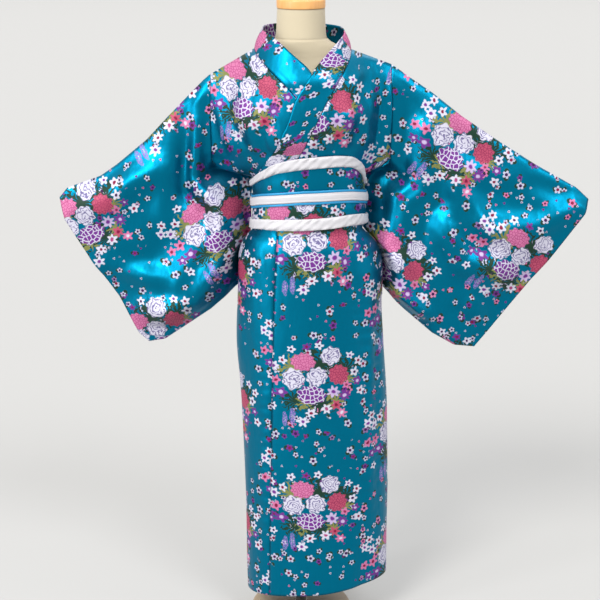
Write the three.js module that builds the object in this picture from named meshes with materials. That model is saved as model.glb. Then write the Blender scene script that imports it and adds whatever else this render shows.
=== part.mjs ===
// A kimono worn on a limbless dress form, with its obi, on a pole and a round base.
// Millimetres, +Z up. Front is -Y, the wearer's left is +X. Origin on the floor under the pole.
import * as THREE from "three";

// Driving sizes
const CLOTH = 1.6;
const COLLAR_CLOTH = 2.4;
const SEAM = 0.35;
const HALF_SEAM = 0.2;
const REST_GAP = 0.45;
const OVER_FRONT_LIFT = 4.4;
const SHOULDER_Z = 1382;
const SHOULDER_LEVEL_X = 100;
const SHOULDER_SLOPE = { left: 0.37, right: 0.58 };
const SHOULDER_ARCH = 75;
const ARMHOLE_X = 205;
const ARMHOLE_BOTTOM_Z = 1128;
const UNDERARM = { tuck: 10, high: 20 };
const SIDE_ANGLE = THREE.MathUtils.degToRad(80);
const HEM_SLOPE = 0.13;
const COLLAR_END_ROW = 1006;
const BACK_NECK_ROW = 1356;
const PANEL_COLUMNS = 9;
const COLLAR_COLUMNS = 5;
const OBI = {
  stations: 44,
  inside: 7.6,
  band: 3,
  roll: 8,
  cordInside: 11,
  cordThick: 4,
  cordHigh: 20,
  pipingThick: 3,
  pipingHigh: 5.5,
  gap: 0.35,
};
const SLEEVE = { across: 20, downArmhole: 7, downFuri: 9, belowArmhole: 18, deepest: 26, mouthOpen: 0.52, mouthHalf: 16, sewnHalf: 0.6, furiHalf: 9, swing: 47, tuck: 14, tuckLowest: 1030 };
const BASE = { radius: 125, topRadius: 117, high: 20 };
const POLE_RADIUS = 15;
const FORM_BOTTOM_Z = 688;
const CAP = { radius: 55, low: 1470.4, high: 1492, dome: 3 };
const FRONT = -1;
const BACK = 1;

const { clamp, lerp } = THREE.MathUtils;
const vec = (x, y, z) => new THREE.Vector3(x, y, z);
const rad = THREE.MathUtils.degToRad;
const deg = THREE.MathUtils.radToDeg;

// A soft step from 0 to 1.
function ease(t) {
  const u = clamp(t, 0, 1);
  return u * u * (3 - 2 * u);
}

// A smooth curve through points, which never overshoots them and is level past its ends.
function through(xs, ys) {
  const last = xs.length - 1;
  const slope = xs.slice(1).map((x, i) => (ys[i + 1] - ys[i]) / (x - xs[i]));
  const tangent = xs.map((_, i) => {
    if (i === 0 || i === last) return i === 0 ? slope[0] : slope[last - 1];
    const [a, b] = [slope[i - 1], slope[i]];
    return a * b <= 0 ? 0 : (2 * a * b) / (a + b);
  });
  return (x) => {
    if (x <= xs[0]) return ys[0];
    if (x >= xs[last]) return ys[last];
    const i = xs.findIndex((edge) => edge > x) - 1;
    const h = xs[i + 1] - xs[i];
    const t = (x - xs[i]) / h;
    const bend = t * t * (3 - 2 * t);
    const leave = t * (1 - t) * (1 - t) * tangent[i];
    const arrive = t * t * (t - 1) * tangent[i + 1];
    return ys[i] + (ys[i + 1] - ys[i]) * bend + h * (leave + arrive);
  };
}

// A table with named columns, one function of its first column for each of the others.
function table(columns, rows) {
  const names = columns.split(" ");
  const sorted = [...rows].sort((a, b) => a[0] - b[0]);
  const keys = sorted.map((row) => row[0]);
  const curves = {};
  names.slice(1).forEach((name, i) => {
    curves[name] = through(keys, sorted.map((row) => row[i + 1]));
  });
  return curves;
}

// Level sections of the wrapped skirt and waist: centre, half width, front and back depth.
const SNUG = table("z centre half front back", [
  [60, 43, 165, 106, 108],
  [200, 41, 167, 108, 110],
  [400, 38, 170, 110, 114],
  [532, 35, 170, 110, 120],
  [700, 27, 167, 110, 124],
  [800, 23, 166, 108, 126],
  [870, 24, 166, 107, 119],
  [900, 23, 164, 105, 113],
  [925, 22, 157, 102, 107],
  [945, 20, 144, 98, 100],
  [967, 18, 123, 92, 90],
  [1030, 19, 121, 91, 87],
  [1080, 16, 120, 93, 88],
  [1120, 14, 126, 96, 92],
  [1150, 12, 130, 100, 96],
  [1200, 10, 135, 105, 100],
]);

// Depth of the loose upper body in front and behind.
const LOOSE_FRONT = table("z depth", [
  [1148, 100],
  [1165, 110],
  [1190, 118],
  [1230, 119],
  [1300, 110],
  [1382, 100],
]);
const LOOSE_BACK = table("z depth", [
  [1100, 92],
  [1160, 102],
  [1230, 104],
  [1300, 100],
  [1382, 95],
]);

// Half opening of an armhole, by the share of its height below the shoulder.
const ARMHOLE = table("down half", [
  [0, 0],
  [0.08, 9],
  [0.2, 15],
  [0.55, 20],
  [0.85, 13],
  [1, HALF_SEAM],
]);

// How much of the shoulder's slope, and of the hem's, a row of the cloth takes up.
const ROW_TILT = table("row shoulder hem", [
  [80, 0, 1],
  [150, 0, 0.8],
  [240, 0, 0.5],
  [340, 0, 0.25],
  [450, 0, 0],
  [1130, 0, 0],
  [1180, 0.3, 0],
  [1230, 0.6, 0],
  [1290, 1, 0],
]);

// Upper and lower edge of the obi and the middle of its cord, by the angle round the waist.
const OBI_EDGE = table("angle top bottom cord", [
  [-180, 1084, 970, 1035],
  [-90, 1078, 967, 1029],
  [-51, 1110, 975, 1043],
  [-28, 1134, 977, 1050],
  [0, 1148, 980, 1056],
  [25, 1151, 983, 1057],
  [44, 1147, 985, 1055],
  [66, 1124, 982, 1048],
  [90, 1084, 978, 1040],
  [180, 1084, 970, 1035],
]);

// Heights of the white rolls along the obi's edges.
const ROLL = table("angle top bottom", [
  [-180, 14, 22],
  [-90, 13, 22],
  [0, 27, 27],
  [60, 24, 26],
  [90, 14, 22],
  [180, 14, 22],
]);

// Front edge of each body piece, where the collar and then the overlap are sewn on.
const FRONT_EDGE = table("row left right", [
  [80, -75, -10],
  [330, -70, -8],
  [630, -65, -3],
  [800, -62, 0],
  [870, -59, 4],
  [965, -52, 52],
  [1006, -46, 64],
  [1040, -40, 62],
  [1074, -33, 60],
  [1100, -25, 57],
  [1124, -16, 54],
  [1150, -4, 49],
  [1178, 9, 42],
  [1210, 25, 30],
  [1245, 42, 13],
  [1278, 59, -7],
  [1308, 77, -35],
  [1335, 94, -64],
  [1358, 106, -88],
  [1374, 111, -100],
  [1382, 112, -104],
]);

// Neck edge of the back, down to the centre seam.
const BACK_EDGE = table("row left right", [
  [1362, 56, -50],
  [1374, 96, -88],
  [1382, 112, -104],
]);

// Free edge of the collar on the chest.
const COLLAR_CHEST = {
  left: table("row x z", [
    [1006, -98, 1006],
    [1040, -97, 1040],
    [1074, -96, 1074],
    [1100, -93, 1100],
    [1124, -86, 1122],
    [1150, -71, 1142],
    [1178, -56, 1166],
    [1210, -42, 1196],
    [1245, -26, 1234],
    [1278, -13, 1275],
    [1308, 10, 1312],
    [1335, 34, 1347],
  ]),
  right: table("row x z", [
    [1006, 112, 1006],
    [1074, 112, 1074],
    [1100, 112, 1102],
    [1124, 110, 1130],
    [1150, 106, 1162],
    [1178, 97, 1198],
    [1210, 84, 1236],
    [1245, 64, 1276],
    [1278, 42, 1310],
    [1308, 14, 1346],
  ]),
};

// Free edge of the collar where it stands round the neck, from the chest to the centre back.
const COLLAR_NECK = {
  left: [
    { face: FRONT, row: 1358, x: 60, y: -64, z: 1376 },
    { face: FRONT, row: 1374, x: 84, y: -36, z: 1400 },
    { face: FRONT, row: 1382, x: 97, y: -4, z: 1416 },
    { face: BACK, row: 1374, x: 92, y: 34, z: 1424 },
    { face: BACK, row: 1362, x: 62, y: 70, z: 1428 },
  ],
  right: [
    { face: FRONT, row: 1335, x: -18, y: -82, z: 1374 },
    { face: FRONT, row: 1358, x: -46, y: -62, z: 1398 },
    { face: FRONT, row: 1374, x: -70, y: -34, z: 1414 },
    { face: FRONT, row: 1382, x: -86, y: -2, z: 1422 },
    { face: BACK, row: 1374, x: -84, y: 34, z: 1427 },
    { face: BACK, row: 1362, x: -56, y: 70, z: 1430 },
  ],
};
const COLLAR_CENTRE_BACK = { x: 0, y: 88, z: 1430 };

// Rows of the cloth, from the shoulder fold down to the hem.
const LOWER_ROWS = [
  1194, 1178, 1164, 1150, 1136, 1124, 1112, 1100, 1088, 1074, 1040, 1006, 967, 945, 920, 870, 800, 700, 570, 450, 340,
  240, 150, 80,
];
const FRONT_ROWS = [1382, 1374, 1358, 1335, 1308, 1278, 1245, 1210, ...LOWER_ROWS];
const BACK_ROWS = [1374, 1362, BACK_NECK_ROW, 1335, 1300, 1255, 1210, ...LOWER_ROWS];

const sideOf = (x) => (x < 0 ? "right" : "left");

// Height of the shoulder fold above a point.
function shoulderHeight(x) {
  return SHOULDER_Z - SHOULDER_SLOPE[sideOf(x)] * Math.max(0, Math.abs(x) - SHOULDER_LEVEL_X);
}

// Half opening of the armhole at a height.
function armholeHalf(side, z) {
  const top = shoulderHeight(side === "left" ? ARMHOLE_X : -ARMHOLE_X);
  return ARMHOLE.half((top - z) / (top - ARMHOLE_BOTTOM_Z));
}

// The angle round the waist, -180 to 180 degrees, of a point on the front or the back.
function waistAngle(face, angle) {
  const a = deg(angle);
  return face === FRONT ? a : Math.sign(a || 1) * 180 - a;
}

// Inner face of the worn cloth: snug below the top of the obi, loose and arched to the shoulder above it.
function clothPoint(face, angle, row) {
  const sine = Math.sin(angle);
  const loose = ease((row - OBI_EDGE.top(waistAngle(face, angle)) - 3) / 32);
  const across = clamp(sine / Math.sin(SIDE_ANGLE), -1, 1);
  const reach = ARMHOLE_X - UNDERARM.tuck * ease((ARMHOLE_BOTTOM_Z - row) / UNDERARM.high);
  const x = lerp(SNUG.centre(row) + SNUG.half(row) * sine, reach * across, loose);
  const shoulder = shoulderHeight(x);
  const z = row + ROW_TILT.shoulder(row) * (shoulder - SHOULDER_Z) + ROW_TILT.hem(row) * HEM_SLOPE * x;
  const rise = clamp((shoulder - z) / SHOULDER_ARCH, 0, 1);
  const arch = Math.sqrt(1 - (1 - rise) ** 2);
  const open = armholeHalf(sideOf(x), z);
  const depth = face === FRONT ? LOOSE_FRONT.depth(row) : LOOSE_BACK.depth(row);
  const looseY = open + Math.max(0, depth - open) * Math.cos((across * Math.PI) / 2) ** 1.2 * arch;
  const snugY = (face === FRONT ? SNUG.front(row) : SNUG.back(row)) * Math.cos(angle);
  const y = lerp(snugY, looseY, loose);
  return vec(x, row >= SHOULDER_Z ? 0 : face * Math.max(y, HALF_SEAM), z);
}

// The angle at which the cloth crosses a given x on a row.
function angleAt(face, x, row) {
  let [low, high] = [-Math.PI / 2, Math.PI / 2];
  for (let i = 0; i < 40; i += 1) {
    const middle = (low + high) / 2;
    if (clothPoint(face, middle, row).x < x) low = middle;
    else high = middle;
  }
  return (low + high) / 2;
}

// The cloth's outward direction at a point.
function clothNormal(face, angle, row) {
  const low = clothPoint(face, angle, row - 2);
  const high = clothPoint(face, angle, Math.min(row + 2, SHOULDER_Z));
  const turn = 0.02;
  const along = clothPoint(face, angle + turn, row).sub(clothPoint(face, angle - turn, row));
  const normal = along.cross(high.sub(low)).normalize();
  const outward = vec(0, face, 0.2);
  return normal.dot(outward) < 0 ? normal.negate() : normal;
}

// A point of the front cloth by its x and height, moved out by a lift.
function onFront(x, z, lift) {
  let row = z;
  for (let i = 0; i < 12; i += 1) row = z - ROW_TILT.shoulder(row) * (shoulderHeight(x) - SHOULDER_Z);
  const angle = angleAt(FRONT, x, row);
  return clothPoint(FRONT, angle, row).addScaledVector(clothNormal(FRONT, angle, row), lift);
}

// How far the wearer's left front lies over the right one.
function overLift(x, row) {
  const towardsSide = ease((150 - x) / 32);
  const towardsShoulder = 1 - ease((row - 1325) / (SHOULDER_Z - 1325));
  return OVER_FRONT_LIFT * towardsSide * towardsShoulder;
}

// A sheet of cloth: points on its inner face and the outward direction at each.
// A ring closes on itself along its columns.
function sheet(points, { ring = false, inside = (p) => vec(15, 0, p.z), hold } = {}) {
  const lastRow = points.length - 1;
  const count = points[0].length;
  const normals = points.map((line, r) =>
    line.map((_, c) => {
      const before = ring ? line[(c + count - 1) % count] : line[Math.max(c - 1, 0)];
      const after = ring ? line[(c + 1) % count] : line[Math.min(c + 1, count - 1)];
      const above = points[Math.max(r - 1, 0)][c];
      const below = points[Math.min(r + 1, lastRow)][c];
      return after.clone().sub(before).cross(below.clone().sub(above)).normalize();
    }),
  );
  let facing = 0;
  points.forEach((line, r) => line.forEach((p, c) => (facing += normals[r][c].dot(p.clone().sub(inside(p, r))))));
  normals.forEach((line, r) =>
    line.forEach((n, c) => {
      if (facing < 0) n.negate();
      if (hold && hold(r, c)) n.setX(0).normalize();
    }),
  );
  return { points, normals, ring };
}

// Gives two sheets one outward direction at each point of the seam between them.
function mitre(one, onePlaces, other, otherPlaces) {
  onePlaces.forEach(([r, c], i) => {
    const [s, d] = otherPlaces[i];
    const shared = one.normals[r][c].clone().add(other.normals[s][d]).normalize();
    one.normals[r][c].copy(shared);
    other.normals[s][d].copy(shared);
  });
}

// A closed solid from vertices and four-cornered faces, turned to face out.
function solid(vertices, quads) {
  const faces = quads.flatMap(([a, b, c, d]) => (d === undefined ? [[a, b, c]] : [[a, b, c], [a, c, d]]));
  const volume = faces.reduce((sum, [a, b, c]) => {
    const cross = vertices[b].clone().cross(vertices[c]);
    return sum + vertices[a].dot(cross);
  }, 0);
  const turned = volume < 0 ? faces.map(([a, b, c]) => [a, c, b]) : faces;
  const geometry = new THREE.BufferGeometry();
  geometry.setAttribute("position", new THREE.Float32BufferAttribute(vertices.flatMap((v) => v.toArray()), 3));
  geometry.setIndex(turned.flat());
  geometry.computeVertexNormals();
  return geometry;
}

// A cloth wall of a thickness on a sheet, closed by rims along its free edges.
function wall({ points, normals, ring }, thickness) {
  const rows = points.length;
  const count = points[0].length;
  const inner = points.flat();
  const outer = inner.map((p, i) => {
    const normal = normals[Math.floor(i / count)][i % count];
    return p.clone().addScaledVector(normal, thickness);
  });
  const out = (r, c) => r * count + (c % count);
  const into = (r, c) => rows * count + out(r, c);
  const quads = [];
  const columns = ring ? count : count - 1;
  for (let r = 0; r < rows - 1; r += 1) {
    for (let c = 0; c < columns; c += 1) {
      quads.push([out(r, c), out(r, c + 1), out(r + 1, c + 1), out(r + 1, c)]);
      quads.push([into(r, c), into(r + 1, c), into(r + 1, c + 1), into(r, c + 1)]);
    }
    if (ring) continue;
    quads.push([out(r, 0), out(r + 1, 0), into(r + 1, 0), into(r, 0)]);
    quads.push([out(r + 1, columns), out(r, columns), into(r, columns), into(r + 1, columns)]);
  }
  const end = rows - 1;
  for (let c = 0; c < columns; c += 1) {
    quads.push([out(0, c + 1), out(0, c), into(0, c), into(0, c + 1)]);
    quads.push([out(end, c), out(end, c + 1), into(end, c + 1), into(end, c)]);
  }
  return solid([...outer, ...inner], quads);
}

// A closed ring swept through sections that all have the same number of points.
function hoop(sections) {
  const count = sections[0].length;
  const at = (s, p) => (s % sections.length) * count + (p % count);
  const quads = [];
  for (let s = 0; s < sections.length; s += 1) {
    for (let p = 0; p < count; p += 1) quads.push([at(s, p), at(s, p + 1), at(s + 1, p + 1), at(s + 1, p)]);
  }
  return solid(sections.flat(), quads);
}

// A solid through level rings, closed by a flat cap at each end.
function stack(rings) {
  const count = rings[0].length;
  const at = (r, p) => r * count + (p % count);
  const middle = (ring) => ring.reduce((sum, p) => sum.add(p), vec(0, 0, 0)).divideScalar(count);
  const quads = [];
  for (let r = 0; r < rings.length - 1; r += 1) {
    for (let p = 0; p < count; p += 1) quads.push([at(r, p), at(r, p + 1), at(r + 1, p + 1), at(r + 1, p)]);
  }
  const [low, high] = [rings.length * count, rings.length * count + 1];
  for (let p = 0; p < count; p += 1) {
    quads.push([at(0, p + 1), at(0, p), low]);
    quads.push([at(rings.length - 1, p), at(rings.length - 1, p + 1), high]);
  }
  return solid([...rings.flat(), middle(rings[0]), middle(rings[rings.length - 1])], quads);
}

// A turned solid from its profile, radius and height, bottom first.
function turned(profile, segments) {
  const points = profile.map(([r, z]) => new THREE.Vector2(r, z));
  return new THREE.LatheGeometry(points, segments).rotateX(Math.PI / 2);
}

// Columns of one row of a body piece, from its front edge or neck edge to its side.
function bodyRow(side, face, row) {
  const sign = side === "left" ? 1 : -1;
  const sideAngle = sign * lerp(Math.PI / 2, SIDE_ANGLE, ease((row - 1100) / (ARMHOLE_BOTTOM_Z - 1100)));
  const centre = clothPoint(face, 0, row).x + sign * HALF_SEAM;
  let edge = centre;
  if (face === FRONT) edge = FRONT_EDGE[side](row);
  else if (row > BACK_NECK_ROW) edge = BACK_EDGE[side](row);
  const start = angleAt(face, edge, row);
  return Array.from({ length: PANEL_COLUMNS }, (_, c) => {
    const angle = lerp(start, sideAngle, c / (PANEL_COLUMNS - 1));
    const point = clothPoint(face, angle, row);
    if (face === BACK || side === "right" || row >= SHOULDER_Z) return point;
    return point.addScaledVector(clothNormal(face, angle, row), overLift(point.x, row));
  });
}

// One body piece: a single length of cloth from the back hem over the shoulder to the front hem.
function bodySheet(side) {
  const back = [...BACK_ROWS].reverse().map((row) => bodyRow(side, BACK, row));
  const front = FRONT_ROWS.map((row) => bodyRow(side, FRONT, row));
  return sheet([...back, ...front], { hold: (r, c) => c === PANEL_COLUMNS - 1 });
}

const BODY_ROWS = [
  ...[...BACK_ROWS].reverse().map((row) => ({ face: BACK, row })),
  ...FRONT_ROWS.map((row) => ({ face: FRONT, row })),
];
const bodyIndex = (face, row) => BODY_ROWS.findIndex((place) => place.face === face && place.row === row);

// Overlap of one front: from the seam to its free edge, below the end of the collar.
function overlapSheet(side, body) {
  const rows = [COLLAR_END_ROW - 1, ...FRONT_ROWS.filter((row) => row < COLLAR_END_ROW)];
  const columns = 6;
  const points = rows.map((row) => {
    const sign = side === "left" ? -1 : 1;
    const start = angleAt(FRONT, FRONT_EDGE[side](row) + sign * SEAM * 1.4, row);
    const end = side === "left" ? rad(-84) : angleAt(FRONT, 118, row);
    return Array.from({ length: columns }, (_, c) => {
      const share = c / (columns - 1);
      const angle = lerp(start, end, share);
      const point = clothPoint(FRONT, angle, row);
      if (side === "right") return point;
      const flare = 8 * Math.exp(-(((point.z - 700) / 90) ** 2)) * ease((share - 0.5) / 0.5);
      return point.addScaledVector(clothNormal(FRONT, angle, row), OVER_FRONT_LIFT + flare);
    });
  });
  const made = sheet(points);
  const shared = rows.slice(1);
  mitre(
    body,
    shared.map((row) => [bodyIndex(FRONT, row), 0]),
    made,
    shared.map((_, i) => [i + 1, 0]),
  );
  return made;
}

// Stations of the collar on one side, from its lower end to the centre back.
function collarStations(side, body) {
  const chestTop = side === "left" ? 1335 : 1308;
  const chest = FRONT_ROWS.filter((row) => row >= COLLAR_END_ROW && row <= chestTop).reverse();
  const edgeOf = (face, row) => body.points[bodyIndex(face, row)][0];
  const fromSeam = (edge, free) => edge.clone().addScaledVector(free.clone().sub(edge).normalize(), SEAM * 1.4);
  const onChest = chest.map((row) => {
    const lift = side === "left" ? overLift(0, row) : 0;
    const free = onFront(COLLAR_CHEST[side].x(row), COLLAR_CHEST[side].z(row), lift);
    const seam = fromSeam(edgeOf(FRONT, row), free);
    const line = Array.from({ length: COLLAR_COLUMNS }, (_, c) => {
      const share = c / (COLLAR_COLUMNS - 1);
      if (c === 0) return seam;
      return onFront(lerp(seam.x, free.x, share), lerp(seam.z, free.z, share), lift);
    });
    return { face: FRONT, row, line };
  });
  const roundNeck = COLLAR_NECK[side].map(({ face, row, x, y, z }) => {
    const free = vec(x, y, z);
    const seam = fromSeam(edgeOf(face, row), free);
    return { face, row, line: neckLine(seam, free) };
  });
  return [...onChest, ...roundNeck];
}

// One line across the standing collar, bowed a little outwards.
function neckLine(seam, free) {
  return Array.from({ length: COLLAR_COLUMNS }, (_, c) => {
    const share = c / (COLLAR_COLUMNS - 1);
    const point = seam.clone().lerp(free, share);
    const outward = vec(point.x, point.y, 0).normalize();
    return point.addScaledVector(outward, 3 * Math.sin(Math.PI * share));
  });
}

// The collar: one long strip from the left end over the neck to the right end.
function collarSheet(bodies) {
  const left = collarStations("left", bodies.left);
  const right = collarStations("right", bodies.right);
  const neck = clothPoint(BACK, 0, BACK_NECK_ROW);
  const free = vec(COLLAR_CENTRE_BACK.x, COLLAR_CENTRE_BACK.y, COLLAR_CENTRE_BACK.z);
  const seam = neck.clone().addScaledVector(free.clone().sub(neck).normalize(), SEAM * 1.4);
  const lines = [...left.map((s) => s.line), neckLine(seam, free), ...[...right].reverse().map((s) => s.line)];
  const made = sheet(lines, { inside: (p) => vec(0, 0, p.z) });
  mitre(
    bodies.left,
    left.map(({ face, row }) => [bodyIndex(face, row), 0]),
    made,
    left.map((_, i) => [i, 0]),
  );
  mitre(
    bodies.right,
    right.map(({ face, row }) => [bodyIndex(face, row), 0]),
    made,
    right.map((_, i) => [lines.length - 1 - i, 0]),
  );
  const backNeck = bodyIndex(BACK, BACK_NECK_ROW);
  mitre(bodies.left, [[backNeck, 0]], made, [[left.length, 0]]);
  bodies.right.normals[backNeck][0].copy(made.normals[left.length][0]);
  return made;
}

// Outline of each sleeve as it hangs, seen from the front, and its folds.
// Folds run through places given as shares across and down; height is towards the viewer.
const SLEEVES = {
  left: {
    top: [[205.5, 1343], [255, 1308], [296, 1281], [366, 1226], [448, 1171], [537, 1115], [637, 1059], [666, 1032]],
    mouth: [[666, 1032], [658, 1002], [576, 888], [507, 800], [439, 712], [412, 678]],
    bottom: [[195, 817], [213, 800], [243, 771], [311, 712], [364, 682], [412, 678]],
    inner: [
      [205.5, 1343], [205.5, 1128], [203, 1114], [186, 1103], [167, 1092], [156, 1078], [152, 990], [152, 965],
      [160, 943], [178, 918], [185, 885], [189, 850], [195, 817],
    ],
    folds: [
      { path: [[0.03, 0.05], [0.1, 0.45], [0.15, 0.75]], width: 24, height: -14 },
      { path: [[0.13, 0.2], [0.14, 0.5], [0.2, 0.95]], width: 26, height: 14 },
      { path: [[1, 0.03], [0.85, 0.25], [0.62, 0.38], [0.4, 0.3], [0.2, 0.15]], width: 30, height: 20 },
      { path: [[0.85, 0.08], [0.6, 0.18], [0.35, 0.1]], width: 26, height: -10 },
      { path: [[0.02, 0.97], [0.25, 0.95], [0.5, 0.93]], width: 22, height: 12 },
      { path: [[0.9, 0.85], [0.75, 0.7]], width: 20, height: 8 },
    ],
  },
  right: {
    top: [[-205.5, 1321], [-221, 1308], [-248, 1281], [-302, 1226], [-354, 1171], [-422, 1115], [-462, 1087], [-540, 1059], [-559, 1036]],
    mouth: [[-559, 1036], [-547, 988], [-487, 888], [-427, 800], [-384, 712], [-361, 691]],
    bottom: [[-150, 824], [-180, 800], [-213, 771], [-256, 742], [-323, 697], [-361, 691]],
    inner: [
      [-205.5, 1321], [-205.5, 1128], [-203, 1114], [-184, 1103], [-158, 1092], [-134, 1082], [-123, 1066],
      [-117, 1040], [-117, 990], [-117, 965], [-120, 943], [-132, 920], [-138, 885], [-141, 850], [-150, 824],
    ],
    folds: [
      { path: [[0.04, 0.03], [0.2, 0.5], [0.33, 0.8]], width: 22, height: 22 },
      { path: [[0.12, 0.1], [0.22, 0.3], [0.3, 0.5]], width: 30, height: -12 },
      { path: [[0.45, 0.12], [0.7, 0.09], [1, 0.1]], width: 25, height: 12 },
      { path: [[0.98, 0.45], [0.62, 0.72], [0.35, 0.62]], width: 28, height: 16 },
      { path: [[0.9, 0.8], [0.45, 0.9], [0.2, 0.8]], width: 24, height: 12 },
    ],
  },
};

// A place along a line of straight stretches, by its share of the whole length.
function along(points, share) {
  const lengths = points.slice(1).map((p, i) => Math.hypot(p[0] - points[i][0], p[1] - points[i][1]));
  let rest = clamp(share, 0, 1) * lengths.reduce((sum, l) => sum + l, 0);
  for (let i = 0; i < lengths.length; i += 1) {
    if (rest <= lengths[i] || i === lengths.length - 1) {
      const t = lengths[i] ? rest / lengths[i] : 0;
      return [lerp(points[i][0], points[i + 1][0], t), lerp(points[i][1], points[i + 1][1], t)];
    }
    rest -= lengths[i];
  }
  return points[points.length - 1];
}

// A place of the sleeve in the front view, blended from its four edges.
function sleevePlace({ top, mouth, bottom, inner }, s, t) {
  const [a, b, c, d] = [along(top, s), along(bottom, s), along(inner, t), along(mouth, t)];
  const corner = (i) =>
    (1 - s) * (1 - t) * top[0][i] + s * (1 - t) * mouth[0][i] + (1 - s) * t * bottom[0][i] + s * t * mouth.at(-1)[i];
  return [0, 1].map((i) => (1 - t) * a[i] + t * b[i] + (1 - s) * c[i] + s * d[i] - corner(i));
}

// Half depth of the sleeve: open at the armhole, full in the middle, part sewn at the mouth.
function sleeveHalf(side, shape, s, t) {
  const round = (4 * t * (1 - t)) ** 0.45;
  const z = along(shape.inner, t)[1];
  const lowest = shape.inner.at(-1)[1];
  const below = clamp((ARMHOLE_BOTTOM_Z - z) / (ARMHOLE_BOTTOM_Z - lowest), 0, 1);
  const furi = SLEEVE.sewnHalf + SLEEVE.furiHalf * Math.sqrt(Math.sin(Math.PI * below));
  const armhole = z > ARMHOLE_BOTTOM_Z ? Math.max(armholeHalf(side, z), t > 0 ? SLEEVE.sewnHalf : 0) : furi;
  const middle = SLEEVE.deepest * round;
  const gape = Math.sin(Math.PI * clamp(t / SLEEVE.mouthOpen, 0, 1)) ** 0.8;
  const mouth = SLEEVE.sewnHalf + SLEEVE.mouthHalf * gape;
  const half = lerp(lerp(armhole, middle, ease(s / 0.3)), mouth, ease((s - 0.75) / 0.25));
  return t === 0 || t === 1 ? 0 : half;
}

// How much a place of the sleeve lies beside the waist, where its inner edge swings back behind the body.
function besideWaist(shape, s, t) {
  const lowest = shape.inner.at(-1)[1];
  const below = (ARMHOLE_BOTTOM_Z - along(shape.inner, t)[1]) / (ARMHOLE_BOTTOM_Z - lowest);
  const down = ease(below / 0.1) * (1 - 0.45 * ease((below - 0.75) / 0.25));
  return down * (1 - ease(s / 0.17));
}

// How far the sleeve's folds carry its cloth towards the viewer.
function sleeveDrape(shape, s, t) {
  const [x, z] = sleevePlace(shape, s, t);
  const total = shape.folds.reduce((sum, { path, width, height }) => {
    const route = Array.from({ length: 17 }, (_, i) => along(path, i / 16));
    const near = route.reduce(
      (best, [u, v], i) => {
        const [px, pz] = sleevePlace(shape, u, v);
        const away = Math.hypot(px - x, pz - z);
        return away < best.away ? { away, share: i / 16 } : best;
      },
      { away: Infinity, share: 0 },
    );
    const taper = ease(near.share / 0.25) * 0.5 + ease((1 - near.share) / 0.25) * 0.5;
    return sum + height * taper * Math.exp(-((near.away / width) ** 2));
  }, 0);
  return total * ease(s / 0.15) * ease(t / 0.06) * ease((1 - t) / 0.06);
}

// Shares down the sleeve, closer together at its two folds, with one at the bottom of the armhole.
function sleeveShares({ inner }) {
  const lengths = inner.slice(1).map((p, i) => Math.hypot(p[0] - inner[i][0], p[1] - inner[i][1]));
  const whole = lengths.reduce((sum, l) => sum + l, 0);
  const armhole = lengths[0] / whole;
  const below = armhole + SLEEVE.belowArmhole / whole;
  const upper = Array.from({ length: SLEEVE.downArmhole + 1 }, (_, j) => {
    const part = j / SLEEVE.downArmhole;
    return armhole * lerp(part, 1 - Math.cos((Math.PI / 2) * part), 0.6);
  });
  const lower = Array.from({ length: SLEEVE.downFuri + 1 }, (_, j) => {
    const part = j / SLEEVE.downFuri;
    return lerp(below, 1, lerp(part, Math.sin((Math.PI / 2) * part), 0.6));
  });
  return [...upper, ...lower];
}

// A sleeve: a flat tube of cloth that hangs from the armhole, with its mouth part open.
function sleeveSheet(side) {
  const shape = SLEEVES[side];
  const shares = sleeveShares(shape);
  const lines = Array.from({ length: SLEEVE.across }, (_, i) => {
    const s = i / (SLEEVE.across - 1);
    const face = (sign) => (t) => {
      const [x, z] = sleevePlace(shape, s, t);
      const beside = besideWaist(shape, s, t);
      const middle = SLEEVE.swing * beside - sleeveDrape(shape, s, t);
      const tucked = sign === BACK ? beside * ease((z - SLEEVE.tuckLowest) / 50) : 0;
      const tuck = SLEEVE.tuck * tucked * Math.sign(x);
      return vec(x - tuck, middle + sign * sleeveHalf(side, shape, s, t), z);
    };
    return [...shares.map(face(FRONT)), ...shares.slice(1, -1).reverse().map(face(BACK))];
  });
  const centres = lines.map((line) => line.reduce((sum, p) => sum.add(p), vec(0, 0, 0)).divideScalar(line.length));
  return sheet(lines, { ring: true, inside: (p, r) => vec(p.x, centres[r].y, centres[r].z), hold: (r) => r === 0 });
}

// A point round the waist, moved out from the cloth.
function obiPoint(angle, z, lift) {
  const [sine, cosine] = [Math.sin(rad(angle)), Math.cos(rad(angle))];
  const depth = cosine > 0 ? SNUG.front(z) : SNUG.back(z);
  const half = SNUG.half(z);
  const outward = vec(sine / half, -cosine / depth, 0).normalize();
  return vec(SNUG.centre(z) + half * sine, -depth * cosine, z).addScaledVector(outward, lift);
}

const obiAngles = Array.from({ length: OBI.stations }, (_, i) => -180 + (360 * i) / OBI.stations);

// The flat band between the two rolls.
function obiBand() {
  const rows = 5;
  const points = Array.from({ length: rows }, (_, r) =>
    obiAngles.map((angle) => {
      const low = OBI_EDGE.bottom(angle) + ROLL.bottom(angle) + OBI.gap;
      const high = OBI_EDGE.top(angle) - ROLL.top(angle) - OBI.gap;
      return obiPoint(angle, lerp(low, high, r / (rows - 1)), OBI.inside);
    }),
  );
  return wall(sheet(points, { ring: true }), OBI.band);
}

// A soft strip round the obi, between two heights and two distances from the cloth.
function obiStrip(low, high, inside, thick) {
  const corners = [[0, 0.2], [0.3, 0], [0.75, 0.05], [1, 0.3], [1, 0.7], [0.75, 0.95], [0.3, 1], [0, 0.8]];
  const sections = obiAngles.map((angle) =>
    corners.map(([out, up]) => obiPoint(angle, lerp(low(angle), high(angle), up), inside + out * thick)),
  );
  return hoop(sections);
}

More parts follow.
